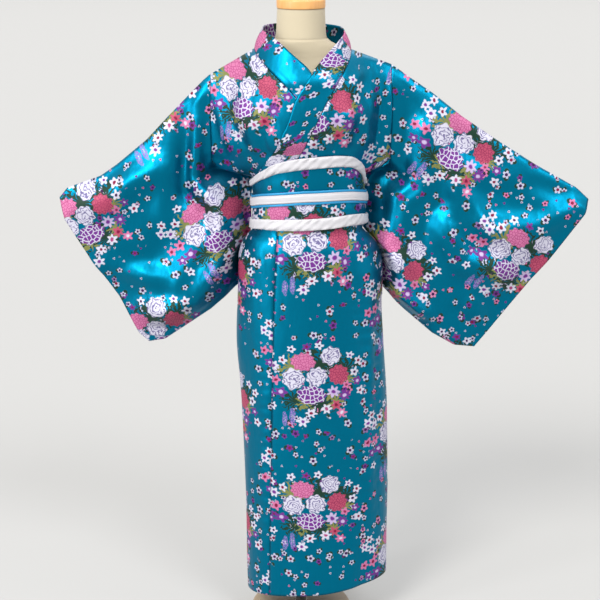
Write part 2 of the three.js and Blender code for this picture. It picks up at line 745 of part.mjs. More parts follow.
// Half width of the form's shoulder at a height, where the steeper side of the cloth rests on it.
function underFold(z) {
  return SHOULDER_LEVEL_X + (SHOULDER_Z - REST_GAP - z) / SHOULDER_SLOPE.right;
}

// Level sections of the dress form: centre, half width, front and back depth, and how far its ends are pinched.
const FORM_ROWS = table("z centre half front back pinch", [
  [688, 14, 116, 84, 86, 1],
  [693, 14, 130, 94, 96, 1],
  [705, 14, 136, 98, 100, 1],
  [800, 18, 148, 97, 110, 1],
  [880, 18, 138, 92, 100, 1],
  [960, 16, 110, 82, 80, 1],
  [1030, 16, 107, 80, 77, 1],
  [1080, 14, 108, 82, 78, 1],
  [1120, 12, 114, 86, 82, 1],
  [1150, 10, 120, 92, 86, 1],
  [1200, 8, 130, 98, 91, 1],
  [1250, 3, 150, 94, 86, 1],
  [1285, 0, 176, 80, 76, 1.3],
  [1300, 0, 182, 76, 70, 1.5],
  [1325, 0, 172, 66, 60, 1.8],
  [1346, 0, underFold(1346), 58, 54, 2],
  [1364, 0, underFold(1364), 55, 52, 2],
  [1371, 0, underFold(1371), 55, 52, 1.9],
  [1381, 0, underFold(1381) - 3, 56, 54, 1.8],
  [1390, 0, 79, 57, 57, 1],
  [1400, 0, 63, 58, 58, 1],
  [1410, 0, 57, 57, 57, 1],
  [1440, 0, 55, 55, 55, 1],
  [1470, 0, 54, 54, 54, 1],
]);
const FORM_LEVELS = [
  688, 693, 705, 800, 880, 960, 1030, 1080, 1120, 1150, 1200, 1250, 1285, 1300, 1325, 1346, 1364, 1371, 1381,
  1390, 1400, 1410, 1470,
];

// The covered torso and neck of the dress form.
function formTorso() {
  const around = 28;
  const rings = FORM_LEVELS.map((z) =>
    Array.from({ length: around }, (_, i) => {
      const angle = (2 * Math.PI * i) / around;
      const cosine = Math.cos(angle);
      const depth = cosine > 0 ? FORM_ROWS.front(z) : FORM_ROWS.back(z);
      const y = -Math.sign(cosine) * depth * Math.abs(cosine) ** FORM_ROWS.pinch(z);
      return vec(FORM_ROWS.centre(z) + FORM_ROWS.half(z) * Math.sin(angle), y, z);
    }),
  );
  return stack(rings);
}

const SATIN = { color: 0x0a86a8, roughness: 0.42, metalness: 0 };
const WHITE_SATIN = { color: 0xe6e4ea, roughness: 0.5, metalness: 0 };
const PALE_BLUE = { color: 0x7fc4de, roughness: 0.5, metalness: 0 };
const JERSEY = { color: 0xcdbfa4, roughness: 0.85, metalness: 0 };
const WOOD = { color: 0xa67b4b, roughness: 0.6, metalness: 0 };
const METAL = { color: 0x8c8880, roughness: 0.45, metalness: 0.6 };

const part = new THREE.Group();

// Adds one named piece with its own material.
function piece(name, geometry, finish) {
  const mesh = new THREE.Mesh(geometry, new THREE.MeshStandardMaterial(finish));
  mesh.name = name;
  part.add(mesh);
}

const bodies = { left: bodySheet("left"), right: bodySheet("right") };
const overlaps = { left: overlapSheet("left", bodies.left), right: overlapSheet("right", bodies.right) };
const collar = collarSheet(bodies);

for (const side of ["left", "right"]) {
  piece(`body_${side}`, wall(bodies[side], CLOTH), SATIN);
  piece(`overlap_${side}`, wall(overlaps[side], CLOTH), SATIN);
  piece(`sleeve_${side}`, wall(sleeveSheet(side), CLOTH), SATIN);
}
piece("collar", wall(collar, COLLAR_CLOTH), SATIN);

piece("obi_band", obiBand(), SATIN);
const { top, bottom, cord } = OBI_EDGE;
const cordHalf = OBI.cordHigh / 2;
const pipingLow = cordHalf + OBI.gap;
const pipingHigh = pipingLow + OBI.pipingHigh;
const strips = [
  ["obi_top_edge", (a) => top(a) - ROLL.top(a), top, OBI.inside, OBI.roll, WHITE_SATIN],
  ["obi_bottom_edge", bottom, (a) => bottom(a) + ROLL.bottom(a), OBI.inside, OBI.roll, WHITE_SATIN],
  ["obi_cord", (a) => cord(a) - cordHalf, (a) => cord(a) + cordHalf, OBI.cordInside, OBI.cordThick, WHITE_SATIN],
  ["obi_piping_upper", (a) => cord(a) + pipingLow, (a) => cord(a) + pipingHigh, OBI.cordInside, OBI.pipingThick, PALE_BLUE],
  ["obi_piping_lower", (a) => cord(a) - pipingHigh, (a) => cord(a) - pipingLow, OBI.cordInside, OBI.pipingThick, PALE_BLUE],
];
for (const [name, low, high, inside, thick, finish] of strips) piece(name, obiStrip(low, high, inside, thick), finish);

piece("form_torso", formTorso(), JERSEY);
const { radius: capRadius, low: capLow, high: capHigh, dome } = CAP;
const capProfile = [[0, capLow], [capRadius - 2, capLow], [capRadius, capLow + 3], [capRadius, capHigh - 5], [capRadius - 4, capHigh - 1], [capRadius * 0.6, capHigh + dome * 0.7], [0, capHigh + dome]];
piece("form_cap", turned(capProfile, 32), WOOD);
const poleProfile = [[0, BASE.high + 0.3], [POLE_RADIUS, BASE.high + 0.3], [POLE_RADIUS, FORM_BOTTOM_Z - 0.3], [0, FORM_BOTTOM_Z - 0.3]];
piece("form_pole", turned(poleProfile, 24), METAL);
const baseProfile = [[0, 0], [BASE.radius, 0], [BASE.radius, 4], [BASE.topRadius, BASE.high - 2], [BASE.topRadius - 4, BASE.high], [0, BASE.high]];
piece("form_base", turned(baseProfile, 40), METAL);

export default part;
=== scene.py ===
# %% [markdown]
# # A kimono on a dress form
# A flowered satin kimono, tied with an obi, stands on a limbless dress form with a wooden neck cap.
# Every cloth surface here is a grid of points worked out with numpy from two parameters.
# That way keeps folds where the eye expects them and gives the same cloth on each run.

import bpy
import numpy as np
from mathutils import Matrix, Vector


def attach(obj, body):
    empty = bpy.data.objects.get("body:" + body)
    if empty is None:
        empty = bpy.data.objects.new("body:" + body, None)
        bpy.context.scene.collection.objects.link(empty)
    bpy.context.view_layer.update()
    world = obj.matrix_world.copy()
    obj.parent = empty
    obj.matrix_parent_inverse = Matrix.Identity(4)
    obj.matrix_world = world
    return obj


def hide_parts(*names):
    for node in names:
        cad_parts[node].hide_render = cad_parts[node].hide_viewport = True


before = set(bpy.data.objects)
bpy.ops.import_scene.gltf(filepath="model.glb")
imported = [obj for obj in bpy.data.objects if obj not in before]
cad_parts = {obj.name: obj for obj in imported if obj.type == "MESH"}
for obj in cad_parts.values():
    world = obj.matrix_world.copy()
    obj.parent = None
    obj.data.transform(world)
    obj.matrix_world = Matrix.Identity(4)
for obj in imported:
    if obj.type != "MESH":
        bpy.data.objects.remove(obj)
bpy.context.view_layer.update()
print("nodes in the frame:", len(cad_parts))

# %% [markdown]
# ## Camera
# A long lens stands a little above the form's neck and looks down on the whole garment.
# Its pitch and focal length make the neck and the hem fall where they do in the picture.
# A wider lens would make the sleeves look larger than the skirt.

# %% Camera
CAMERA_PLACE = (0.0, -3.6, 1.75)
CAMERA_PITCH = 75.077
LENS_MM = 94.75
NECK_SHIFT = -1 / 600
FARTHEST = 200


def show(name, data):
    """A new object of the scene, which shows a mesh, a lamp or a camera."""
    made = bpy.data.objects.new(name, data)
    bpy.context.scene.collection.objects.link(made)
    return made


camera = show("camera", bpy.data.cameras.new("lens"))
camera.location = CAMERA_PLACE
camera.rotation_euler = (np.radians(CAMERA_PITCH), 0, 0)
camera.data.lens = LENS_MM
camera.data.shift_x = NECK_SHIFT
camera.data.clip_end = FARTHEST
bpy.context.scene.camera = camera
print("camera at", CAMERA_PLACE, "with a lens of", LENS_MM, "mm")

# %% [markdown]
# ## Light
# Satin shows its folds by what it reflects, so bright and dark things have to stand round it.
# Three suns light the whole, and two narrow soft boxes draw bright bands along the folds.
# A wide box behind the form lights the floor there, which keeps the background even.
# One lamp alone would leave half of the folds flat and the floor grey.

# %% Lamps
SUNS = {
    "key": ((50, -30), 2.6, 20, (1.0, 0.97, 0.92)),
    "fill": ((48, 36), 1.35, 20, (0.98, 0.98, 0.98)),
    "back": ((50, 160), 0.35, 30, (1.0, 1.0, 1.0)),
}
SOFT_BOXES = {
    "left_box": ((-3.2, -2.2, 1.7), (0, 0, 0.9), (0.6, 2.4), 64),
    "right_box": ((3.6, -1.2, 1.6), (0, 0, 1.0), (0.5, 2.0), 12),
    "ceiling_box": ((0, 12.0, 4.6), (0, 12.0, 0), (30, 23), 760),
}


def add_lamp(name, kind, strength, turn, place=(0, 0, 0)):
    """A lamp of a kind at a place, in metres, turned by three angles."""
    lamp = show(name, bpy.data.lights.new(name, kind))
    lamp.data.energy = strength
    lamp.rotation_euler = turn
    lamp.location = place
    return lamp.data


for name, ((tilt, turn), strength, spread, tint) in SUNS.items():
    sun = add_lamp(name, "SUN", strength, (np.radians(tilt), 0, np.radians(turn)))
    sun.angle = np.radians(spread)
    sun.color = tint
for name, (place, aim, size, watts) in SOFT_BOXES.items():
    facing = (Vector(aim) - Vector(place)).to_track_quat("-Z", "Y").to_euler()
    box = add_lamp(name, "AREA", watts, facing, place)
    box.shape = "RECTANGLE"
    box.size, box.size_y = size
print("lamps:", ", ".join([*SUNS, *SOFT_BOXES]))

# %% [markdown]
# ## Sky
# The sky is a ramp of greys from straight down to straight up, which the cloth reflects.
# It is dark a little above the horizon, so that cloth facing the camera keeps its deep colour.
# It is bright higher up, so that the shoulders and the upper folds shine.

# %% Sky
SKY_TONES = [
    (0.0, 0.3), (0.49, 0.78), (0.53, 0.8), (0.58, 0.16), (0.67, 0.45), (0.76, 1.0), (0.93, 0.9),
]
world = bpy.data.worlds.new("studio")
world.use_nodes = True
sky_nodes, sky_links = world.node_tree.nodes, world.node_tree.links
direction = sky_nodes.new("ShaderNodeTexCoord")
parts = sky_nodes.new("ShaderNodeSeparateXYZ")
height = sky_nodes.new("ShaderNodeMapRange")
height.inputs["From Min"].default_value = -1.0
ramp = sky_nodes.new("ShaderNodeValToRGB")
sky_links.new(direction.outputs["Generated"], parts.inputs[0])
sky_links.new(parts.outputs["Z"], height.inputs["Value"])
sky_links.new(height.outputs[0], ramp.inputs[0])
for stop, (place, tone) in enumerate(SKY_TONES):
    mark = ramp.color_ramp.elements[stop] if stop < 2 else ramp.color_ramp.elements.new(place)
    mark.position = place
    mark.color = (tone, tone, tone, 1)
sky_links.new(ramp.outputs[0], sky_nodes["Background"].inputs["Color"])
bpy.context.scene.world = world
bpy.context.scene.view_settings.view_transform = "Standard"
print("sky tones:", len(SKY_TONES))

# %% [markdown]
# ## Curves through measured points
# A garment's outline changes slowly, so a few measured rows are enough.
# The curve between them never overshoots, which a plain cubic would do at the waist.

# %% Curves
MM = 0.001
FRONT, BACK = -1, 1


def clamp(value, low=0.0, high=1.0):
    """The value, held between two limits."""
    return np.clip(value, low, high)


def lerp(start, end, share):
    """The point that lies a share of the way from start to end."""
    return start + (end - start) * share


def ease(share):
    """A soft step: three times the share squared less twice its cube."""
    held = clamp(share)
    return held * held * (3 - 2 * held)


def bell(distance, width):
    """A bell curve: one at no distance, about a third at one width."""
    return np.exp(-((distance / width) ** 2))


def through(places, values):
    """A smooth curve through points. Its slope at each is the harmonic mean of the slopes on both sides."""
    places, values = np.asarray(places, float), np.asarray(values, float)
    slopes = np.diff(values) / np.diff(places)
    inner = np.zeros(len(places) - 2)
    same_way = slopes[:-1] * slopes[1:] > 0
    product = 2 * slopes[:-1] * slopes[1:]
    inner[same_way] = (product / np.where(same_way, slopes[:-1] + slopes[1:], 1))[same_way]
    tangents = np.concatenate([slopes[:1], inner, slopes[-1:]])

    def curve(x):
        """The height of the curve at places x, level beyond both ends."""
        held = clamp(np.asarray(x, float), places[0], places[-1])
        i = clamp(np.searchsorted(places, held, side="right") - 1, 0, len(slopes) - 1).astype(int)
        span = places[i + 1] - places[i]
        t = (held - places[i]) / span
        leave = t * (1 - t) ** 2 * tangents[i]
        arrive = t * t * (t - 1) * tangents[i + 1]
        return values[i] + (values[i + 1] - values[i]) * t * t * (3 - 2 * t) + span * (leave + arrive)

    return curve


def table(columns, rows):
    """Named curves of the first column, one for each other column."""
    names = columns.split()
    data = np.array(sorted(rows), float)
    return {name: through(data[:, 0], data[:, i + 1]) for i, name in enumerate(names[1:])}


print("a curve through 0, 1 and 0, a quarter of the way:", through([0, 1, 2], [0, 1, 0])(0.5))

# %% [markdown]
# ## Grids of cloth
# A grid has rows and columns of points, and each point knows its place on the flat cloth.
# That flat place carries the printed pattern, so the print bends with the folds.
# A Solidify modifier then gives the cloth its real thickness.

# %% Grids
CLOTH_THICK = 1.4
piece = {}


def mesh_object(name, points, faces, finish, flat=None, flat_faces=0):
    """A mesh of points in millimetres, with flat cloth places as a UV map. Its last few faces may be flat."""
    name = "shown_" + name
    mesh = bpy.data.meshes.new(name)
    mesh.from_pydata((points * MM).tolist(), [], faces)
    if flat is not None:
        corners = np.zeros(len(mesh.loops), int)
        mesh.loops.foreach_get("vertex_index", corners)
        layer = mesh.uv_layers.new(name="cloth")
        layer.data.foreach_set("uv", (flat[corners] * MM).astype(np.float32).ravel())
    mesh.polygons.foreach_set("use_smooth", np.arange(len(faces)) < len(faces) - flat_faces)
    mesh.update()
    mesh.materials.append(FINISH[finish])
    return show(name, mesh)


def grid_faces(rows, columns, ring=False, closed=False):
    """The faces of a grid. A ring joins its last column to its first, a closed one its last row too."""
    lines, lanes = rows if closed else rows - 1, columns if ring else columns - 1
    r, c = np.meshgrid(np.arange(lines), np.arange(lanes), indexing="ij")
    below, after = (r + 1) % rows, (c + 1) % columns
    corners = [r * columns + c, r * columns + after, below * columns + after, below * columns + c]
    return np.stack(corners, axis=-1).reshape(-1, 4)


print("faces of a grid of 3 by 4 points:", len(grid_faces(3, 4)))


# %% Cloth
def outward_normals(points, inside):
    """The direction square to a grid at each point, turned to point away from the inside points."""
    normals = np.cross(np.gradient(points, axis=1), np.gradient(points, axis=0))
    normals = normals / np.maximum(np.linalg.norm(normals, axis=-1, keepdims=True), 1e-9)
    return normals if np.sum(normals * (points - inside)) > 0 else -normals


def turn_outward(made, inside):
    """Turns the faces of a mesh to look away from the inside points, one for each face, in millimetres."""
    normals, centers = np.zeros((2, len(made.data.polygons) * 3))
    made.data.polygons.foreach_get("normal", normals)
    made.data.polygons.foreach_get("center", centers)
    if np.sum(normals * (centers - np.broadcast_to(inside * MM, (len(made.data.polygons), 3)).ravel())) < 0:
        made.data.flip_normals()


def cloth(name, points, flat, inside, ring=False, thick=CLOTH_THICK):
    """A sheet of printed cloth on a grid of points of its inner face."""
    faces = grid_faces(*points.shape[:2], ring)
    places, flat_places = points.reshape(-1, 3), flat.reshape(-1, 2)
    made = mesh_object(name, places, faces.tolist(), "flowered_satin", flat_places)
    turn_outward(made, np.broadcast_to(inside, points.shape).reshape(-1, 3)[faces[:, 0]])
    solidify = made.modifiers.new("thickness", "SOLIDIFY")
    solidify.thickness = thick * MM
    solidify.offset = 1
    piece[name] = (made, "flowered_satin")


def arc_lengths(points, axis):
    """Distances along a grid's lines from their first point."""
    steps = np.linalg.norm(np.diff(points, axis=axis), axis=-1)
    pad = [(1, 0), (0, 0)] if axis == 0 else [(0, 0), (1, 0)]
    return np.pad(np.cumsum(steps, axis=axis), pad)


def on_axis(points, x=15.0):
    """The point on the upright line through x that is level with each point."""
    z = points[..., 2]
    return np.stack([np.full_like(z, x), np.zeros_like(z), z], axis=-1)


print("cloth thickness:", CLOTH_THICK, "mm")

# %% [markdown]
# ## Creases
# A crease is a ridge or a valley along a drawn line, strongest in the middle of the line.
# The depth falls off as a bell curve with the distance from the line.
# Drawing the main ones keeps them where weight and gathers pull the cloth.


# %% Creases
def crease_depth(x, z, creases):
    """The sum of all creases at places (x, z): height times taper times a bell of the distance."""
    total = np.zeros(np.broadcast(x, z).shape)
    for path, width, height in creases:
        line = np.asarray(path, float)
        steps = np.linspace(0, len(line) - 1, 8 * len(line))
        routes = [through(np.arange(len(line)), line[:, k])(steps) for k in (0, 1)]
        away = np.hypot(np.asarray(x)[..., None] - routes[0], np.asarray(z)[..., None] - routes[1])
        nearest = away.argmin(axis=-1)
        share = nearest / (len(steps) - 1)
        taper = ease(share / 0.3) * ease((1 - share) / 0.3)
        distance = np.take_along_axis(away, nearest[..., None], axis=-1)[..., 0]
        total += height * (0.15 + 0.85 * taper) * bell(distance, width)
    return total


def ripples(a, b, seed, count=6, longest=260.0):
    """Low uneven waves: a sum of sines whose lengths and directions come from a seeded draw."""
    draw = np.random.default_rng(seed)
    total = np.zeros(np.broadcast(a, b).shape)
    for i in range(count):
        length = longest / (1 + 0.7 * i)
        turn = draw.uniform(-0.5, 0.5)
        phase = draw.uniform(0, 2 * np.pi)
        way = a * np.cos(turn) + b * np.sin(turn) * 0.35
        total += np.sin(2 * np.pi * way / length + phase) / (1 + 0.6 * i)
    return total / count


one_crease = [([(0, 0), (0, 5), (0, 10)], 4, 3)]
print("depth 2 mm beside a crease 3 mm high:", crease_depth(2.0, 5.0, one_crease).round(2))

# %% [markdown]
# ## The worn body of the kimono
# Below the obi the cloth wraps snugly round the hips in level oval sections.
# Above it the cloth hangs loose from the shoulder fold and arches over the bust.
# A soft step at the obi's upper edge blends one shape into the other.

# %% Body tables
SHOULDER_Z = 1382
SHOULDER_LEVEL_X = 100
SHOULDER_SLOPE = {"left": 0.37, "right": 0.58}
SHOULDER_ARCH = 75
ARMHOLE_X = 205
ARMHOLE_BOTTOM_Z = 1128
UNDERARM_TUCK = 10
UNDERARM_HIGH = 20
SIDE_ANGLE = np.radians(80)
HEM_SLOPE = 0.13
HALF_SEAM = 0.2
SEAM_STEP = 0.49
OVER_FRONT_LIFT = 4.4
OVER_TO_X = 150
OVER_TO_Z = 1325
COLLAR_END_ROW = 1006
BACK_NECK_ROW = 1356

SNUG = table(
    "z centre half front back",
    [
        (60, 43, 165, 106, 108), (200, 41, 167, 108, 110), (400, 38, 170, 110, 114),
        (532, 35, 170, 110, 120), (700, 27, 167, 110, 124), (800, 23, 166, 108, 126),
        (870, 24, 166, 107, 119), (900, 23, 164, 105, 113), (925, 22, 157, 102, 107),
        (945, 20, 144, 98, 100), (967, 18, 123, 92, 90), (1030, 19, 121, 91, 87),
        (1080, 16, 120, 93, 88), (1120, 14, 126, 96, 92), (1150, 12, 130, 100, 96),
        (1200, 10, 135, 105, 100),
    ],
)
LOOSE_FRONT = table(
    "z depth", [(1148, 100), (1165, 110), (1190, 118), (1230, 119), (1300, 110), (1382, 100)]
)
LOOSE_BACK = table("z depth", [(1100, 92), (1160, 102), (1230, 104), (1300, 100), (1382, 95)])
ARMHOLE = table("down half", [(0, 0), (0.08, 9), (0.2, 15), (0.55, 20), (0.85, 13), (1, HALF_SEAM)])
ROW_TILT = table(
    "row shoulder hem",
    [
        (80, 0, 1), (150, 0, 0.8), (240, 0, 0.5), (340, 0, 0.25), (450, 0, 0), (1130, 0, 0),
        (1180, 0.3, 0), (1230, 0.6, 0), (1290, 1, 0),
    ],
)
OBI_EDGE = table(
    "angle top bottom cord",
    [
        (-180, 1084, 970, 1035), (-90, 1078, 967, 1029), (-51, 1110, 975, 1043), (-28, 1134, 977, 1050),
        (0, 1148, 980, 1056), (25, 1151, 983, 1057), (44, 1147, 985, 1055), (66, 1124, 982, 1048),
        (90, 1084, 978, 1040), (180, 1084, 970, 1035),
    ],
)
ROLL = table(
    "angle top bottom",
    [(-180, 14, 22), (-90, 13, 22), (0, 27, 27), (60, 24, 26), (90, 14, 22), (180, 14, 22)],
)
FRONT_EDGE = table(
    "row left right",
    [
        (80, -75, -10), (330, -70, -8), (630, -65, -3), (800, -62, 0), (870, -59, 4), (965, -52, 52),
        (1006, -46, 64), (1040, -40, 62), (1074, -33, 60), (1100, -25, 57), (1124, -16, 54), (1150, -4, 49),
        (1178, 9, 42), (1210, 25, 30), (1245, 42, 13), (1278, 59, -7), (1308, 77, -35), (1335, 94, -64),
        (1358, 106, -88), (1374, 111, -100), (1382, 112, -104),
    ],
)
BACK_EDGE = table("row left right", [(1362, 56, -50), (1374, 96, -88), (1382, 112, -104)])
print("shoulder fold at", SHOULDER_Z, "mm, armholes down to", ARMHOLE_BOTTOM_Z, "mm")

# %% [markdown]
# ## A point of the worn cloth
# Each point of the body is found from an angle round the form and a row, counted by its height.
# The snug shape is an oval, and the loose one is a tent under the shoulder fold.
# Everything sewn on the body asks these formulas where the body is, so that nothing drifts apart.


# %% Body formulas
def side_of(x):
    """True where a place is on the wearer's left."""
    return np.asarray(x) >= 0


def shoulder_height(x):
    """Height of the shoulder fold above a place: level near the neck, then sloping down."""
    slope = np.where(side_of(x), SHOULDER_SLOPE["left"], SHOULDER_SLOPE["right"])
    return SHOULDER_Z - slope * np.maximum(0, np.abs(x) - SHOULDER_LEVEL_X)


def armhole_half(is_left, z):
    """Half opening of the armhole at a height."""
    top = np.where(is_left, shoulder_height(ARMHOLE_X), shoulder_height(-ARMHOLE_X))
    return ARMHOLE["half"]((top - z) / (top - ARMHOLE_BOTTOM_Z))


def waist_angle(face, angle):
    """The angle round the waist in degrees, nought in front and half a turn behind."""
    degrees = np.degrees(angle)
    if face == FRONT:
        return degrees
    return np.where(degrees < 0, -1, 1) * 180 - degrees


def cloth_point(face, angle, row):
    """A point of the worn cloth from its angle and its row.

    The snug place is centre plus half width times the sine, and depth times the cosine.
    The loose place spreads to the armhole and arches under the shoulder fold.
    A soft step above the obi blends the two.
    """
    angle, row = np.broadcast_arrays(np.asarray(angle, float), np.asarray(row, float))
    sine = np.sin(angle)
    loose = ease((row - OBI_EDGE["top"](waist_angle(face, angle)) - 3) / 32)
    across = clamp(sine / np.sin(SIDE_ANGLE), -1, 1)
    reach = ARMHOLE_X - UNDERARM_TUCK * ease((ARMHOLE_BOTTOM_Z - row) / UNDERARM_HIGH)
    x = lerp(SNUG["centre"](row) + SNUG["half"](row) * sine, reach * across, loose)
    shoulder = shoulder_height(x)
    z = row + ROW_TILT["shoulder"](row) * (shoulder - SHOULDER_Z) + ROW_TILT["hem"](row) * HEM_SLOPE * x
    arch = np.sqrt(1 - (1 - clamp((shoulder - z) / SHOULDER_ARCH)) ** 2)
    opening = armhole_half(side_of(x), z)
    depth = (LOOSE_FRONT if face == FRONT else LOOSE_BACK)["depth"](row)
    bulge = np.maximum(np.cos(across * np.pi / 2), 0) ** 1.2
    loose_y = opening + np.maximum(0, depth - opening) * bulge * arch
    snug_y = SNUG["front" if face == FRONT else "back"](row) * np.cos(angle)
    y = np.maximum(lerp(snug_y, loose_y, loose), HALF_SEAM)
    return np.stack([x, np.where(row >= SHOULDER_Z, 0, face * y), z], axis=-1)


print("front of the waist:", cloth_point(FRONT, 0.0, 1000.0).round(1))


# %% Places on the body
def angle_at(face, x, row):
    """The angle at which the cloth crosses a place x, found by halving the range forty times."""
    x, row = np.broadcast_arrays(np.asarray(x, float), np.asarray(row, float))
    low, high = np.full(x.shape, -np.pi / 2), np.full(x.shape, np.pi / 2)
    for _ in range(40):
        middle = (low + high) / 2
        short = cloth_point(face, middle, row)[..., 0] < x
        low, high = np.where(short, middle, low), np.where(short, high, middle)
    return (low + high) / 2


def cloth_normal(face, angle, row):
    """The outward direction of the worn cloth, from small steps along it both ways."""
    turn = 0.02
    along = cloth_point(face, angle + turn, row) - cloth_point(face, angle - turn, row)
    up = cloth_point(face, angle, np.minimum(row + 2, SHOULDER_Z)) - cloth_point(face, angle, row - 2)
    normal = np.cross(along, up)
    normal = normal / np.maximum(np.linalg.norm(normal, axis=-1, keepdims=True), 1e-9)
    wrong = (normal @ np.array([0, face, 0.2])) < 0
    return np.where(wrong[..., None], -normal, normal)


def on_front(x, z, lift):
    """A point of the front cloth by its place and height, moved out by a lift."""
    row = np.asarray(z, float)
    for _ in range(12):
        row = z - ROW_TILT["shoulder"](row) * (shoulder_height(x) - SHOULDER_Z)
    angle = angle_at(FRONT, x, row)
    return cloth_point(FRONT, angle, row) + cloth_normal(FRONT, angle, row) * np.asarray(lift)[..., None]


def over_lift(x, row):
    """How far the wearer's left front lies over the right one."""
    crossed = ease((OVER_TO_X - x) / 32)
    return OVER_FRONT_LIFT * crossed * (1 - ease((row - OVER_TO_Z) / (SHOULDER_Z - OVER_TO_Z)))


def worn_grid(face, start, end, rows, columns):
    """Points, outward directions and rows of the worn cloth between two angles on each row."""
    angles = lerp(start[:, None], end[:, None], np.linspace(0, 1, columns)[None, :])
    grid_rows = np.broadcast_to(rows[:, None], angles.shape)
    return cloth_point(face, angles, grid_rows), cloth_normal(face, angles, grid_rows), grid_rows


print("chest 5 mm above the cloth:", on_front(50.0, 1200.0, 5.0).round(1))

# %% [markdown]
# ## Folds of the body
# The obi gathers the cloth above it into short upright pleats, which die out over the bust.
# Long soft folds run from the shoulders to the obi, and the skirt falls almost smooth.
# All layers at one place move by the same depth, so that none cuts through another.

# %% Body creases
FRONT_CREASES = [
    ([(-150, 1250), (-110, 1238), (-64, 1228)], 44, 12),
    ([(58, 1228), (106, 1240), (150, 1252)], 44, 12),
    ([(-182, 1262), (-126, 1234), (-72, 1214)], 27, 5),
    ([(56, 1216), (112, 1240), (170, 1270)], 27, 5),
    ([(-196, 1285), (-176, 1215), (-140, 1130)], 13, 7.0),
    ([(-168, 1300), (-150, 1225), (-118, 1140)], 10, -5.5),
    ([(-142, 1325), (-122, 1240), (-96, 1150)], 12, 4.5),
    ([(-104, 1245), (-88, 1195), (-76, 1145)], 7, -3.2),
    ([(-84, 1230), (-70, 1190), (-60, 1150)], 6, 3.0),
    ([(-42, 1225), (-40, 1190), (-36, 1152)], 5, 2.2),
    ([(22, 1215), (26, 1185), (27, 1156)], 4.5, 3.2),
    ([(36, 1228), (40, 1190), (42, 1156)], 5, -2.6),
    ([(52, 1240), (57, 1195), (60, 1156)], 5, 4.0),
    ([(76, 1250), (76, 1200), (78, 1155)], 6, -3.4),
    ([(100, 1272), (98, 1210), (97, 1150)], 8, 4.5),
    ([(128, 1300), (124, 1225), (118, 1142)], 10, -4.0),
    ([(156, 1315), (150, 1235), (140, 1140)], 12, 5.5),
    ([(184, 1300), (180, 1220), (166, 1125)], 11, -7.5),
    ([(198, 1322), (201, 1240), (195, 1150)], 8, 8.0),
    ([(-150, 1338), (-95, 1312), (-45, 1262)], 15, 2.6),
    ([(-128, 1316), (-70, 1284), (-30, 1234)], 9, -2.0),
    ([(150, 1345), (112, 1305), (86, 1258)], 12, 2.8),
    ([(-30, 1314), (-18, 1299), (-4, 1288)], 3.0, -3.4),
    ([(-24, 1318), (-10, 1304), (4, 1294)], 3.0, 1.6),
    ([(-120, 962), (-96, 930), (-92, 860)], 16, 2.6),
    ([(-128, 916), (-104, 906), (-84, 908)], 4, -2.2),
    ([(-70, 968), (-58, 900), (-50, 760)], 14, -1.8),
    ([(60, 966), (72, 880), (78, 700)], 18, 2.2),
    ([(104, 962), (120, 880), (128, 640)], 16, -2.6),
    ([(150, 940), (158, 760), (160, 420), (166, 130)], 17, 3.6),
    ([(176, 820), (178, 560), (182, 240)], 9, -4.0),
    ([(20, 760), (14, 480), (22, 150)], 42, 2.4),
    ([(-88, 700), (-84, 430), (-88, 130)], 15, 2.6),
    ([(96, 560), (104, 330), (110, 110)], 24, -2.8),
    ([(-34, 420), (-38, 250), (-30, 110)], 20, -2.2),
    ([(-104, 560), (-60, 590), (0, 604)], 14, 1.3),
    ([(150, 470), (90, 500), (30, 494)], 16, 1.2),
]
BACK_CREASES = [
    ([(-170, 1300), (-130, 1220), (-84, 1100)], 13, 6.0),
    ([(-146, 1308), (-104, 1215), (-66, 1096)], 10, -4.0),
    ([(168, 1310), (126, 1215), (90, 1100)], 12, 6.4),
    ([(140, 1312), (100, 1220), (70, 1100)], 10, -4.4),
    ([(-60, 1290), (-42, 1200), (-36, 1096)], 9, 3.6),
    ([(62, 1276), (46, 1180), (38, 1096)], 8, 4.2),
    ([(0, 1240), (4, 1160), (4, 1094)], 7, -2.6),
    ([(-20, 1200), (-18, 1150), (-16, 1094)], 5, 2.4),
    ([(-120, 1180), (-100, 1130), (-96, 1092)], 6, 2.8),
    ([(124, 1170), (108, 1130), (104, 1090)], 6, 2.6),
    ([(-100, 950), (-112, 800), (-110, 520)], 18, 3.0),
    ([(120, 955), (134, 790), (130, 500)], 20, 3.0),
    ([(-46, 960), (-54, 820), (-40, 560)], 14, -2.4),
    ([(70, 960), (84, 800), (74, 560)], 15, -2.6),
    ([(20, 700), (24, 420), (30, 120)], 26, 2.8),
    ([(-70, 520), (-66, 300), (-72, 110)], 22, 3.2),
    ([(150, 480), (156, 260), (158, 120)], 18, 3.4),
    ([(100, 420), (96, 250), (100, 110)], 18, -3.0),
    ([(-120, 430), (-124, 240), (-118, 110)], 12, -2.4),
]

print("creases:", len(FRONT_CREASES), "in front and", len(BACK_CREASES), "behind")


# %% Body folds
HEM_WAVE = {"z": 80, "high": 190, "depth": 2.4, "length": 27}
FINE_WAVE = 1.1
SEEDS = {FRONT: 5, BACK: 8}


def obi_press(face, points):
    """How far the cloth is free of the obi: nought under it, one a little above or below."""
    x, z = points[..., 0], points[..., 2]
    share = clamp((x - SNUG["centre"](z)) / SNUG["half"](z), -1, 1)
    around = waist_angle(face, np.arcsin(share))
    above = ease((z - OBI_EDGE["top"](around) + 4) / 14)
    below = ease((OBI_EDGE["bottom"](around) + 4 - z) / 20)
    return np.maximum(above, below)


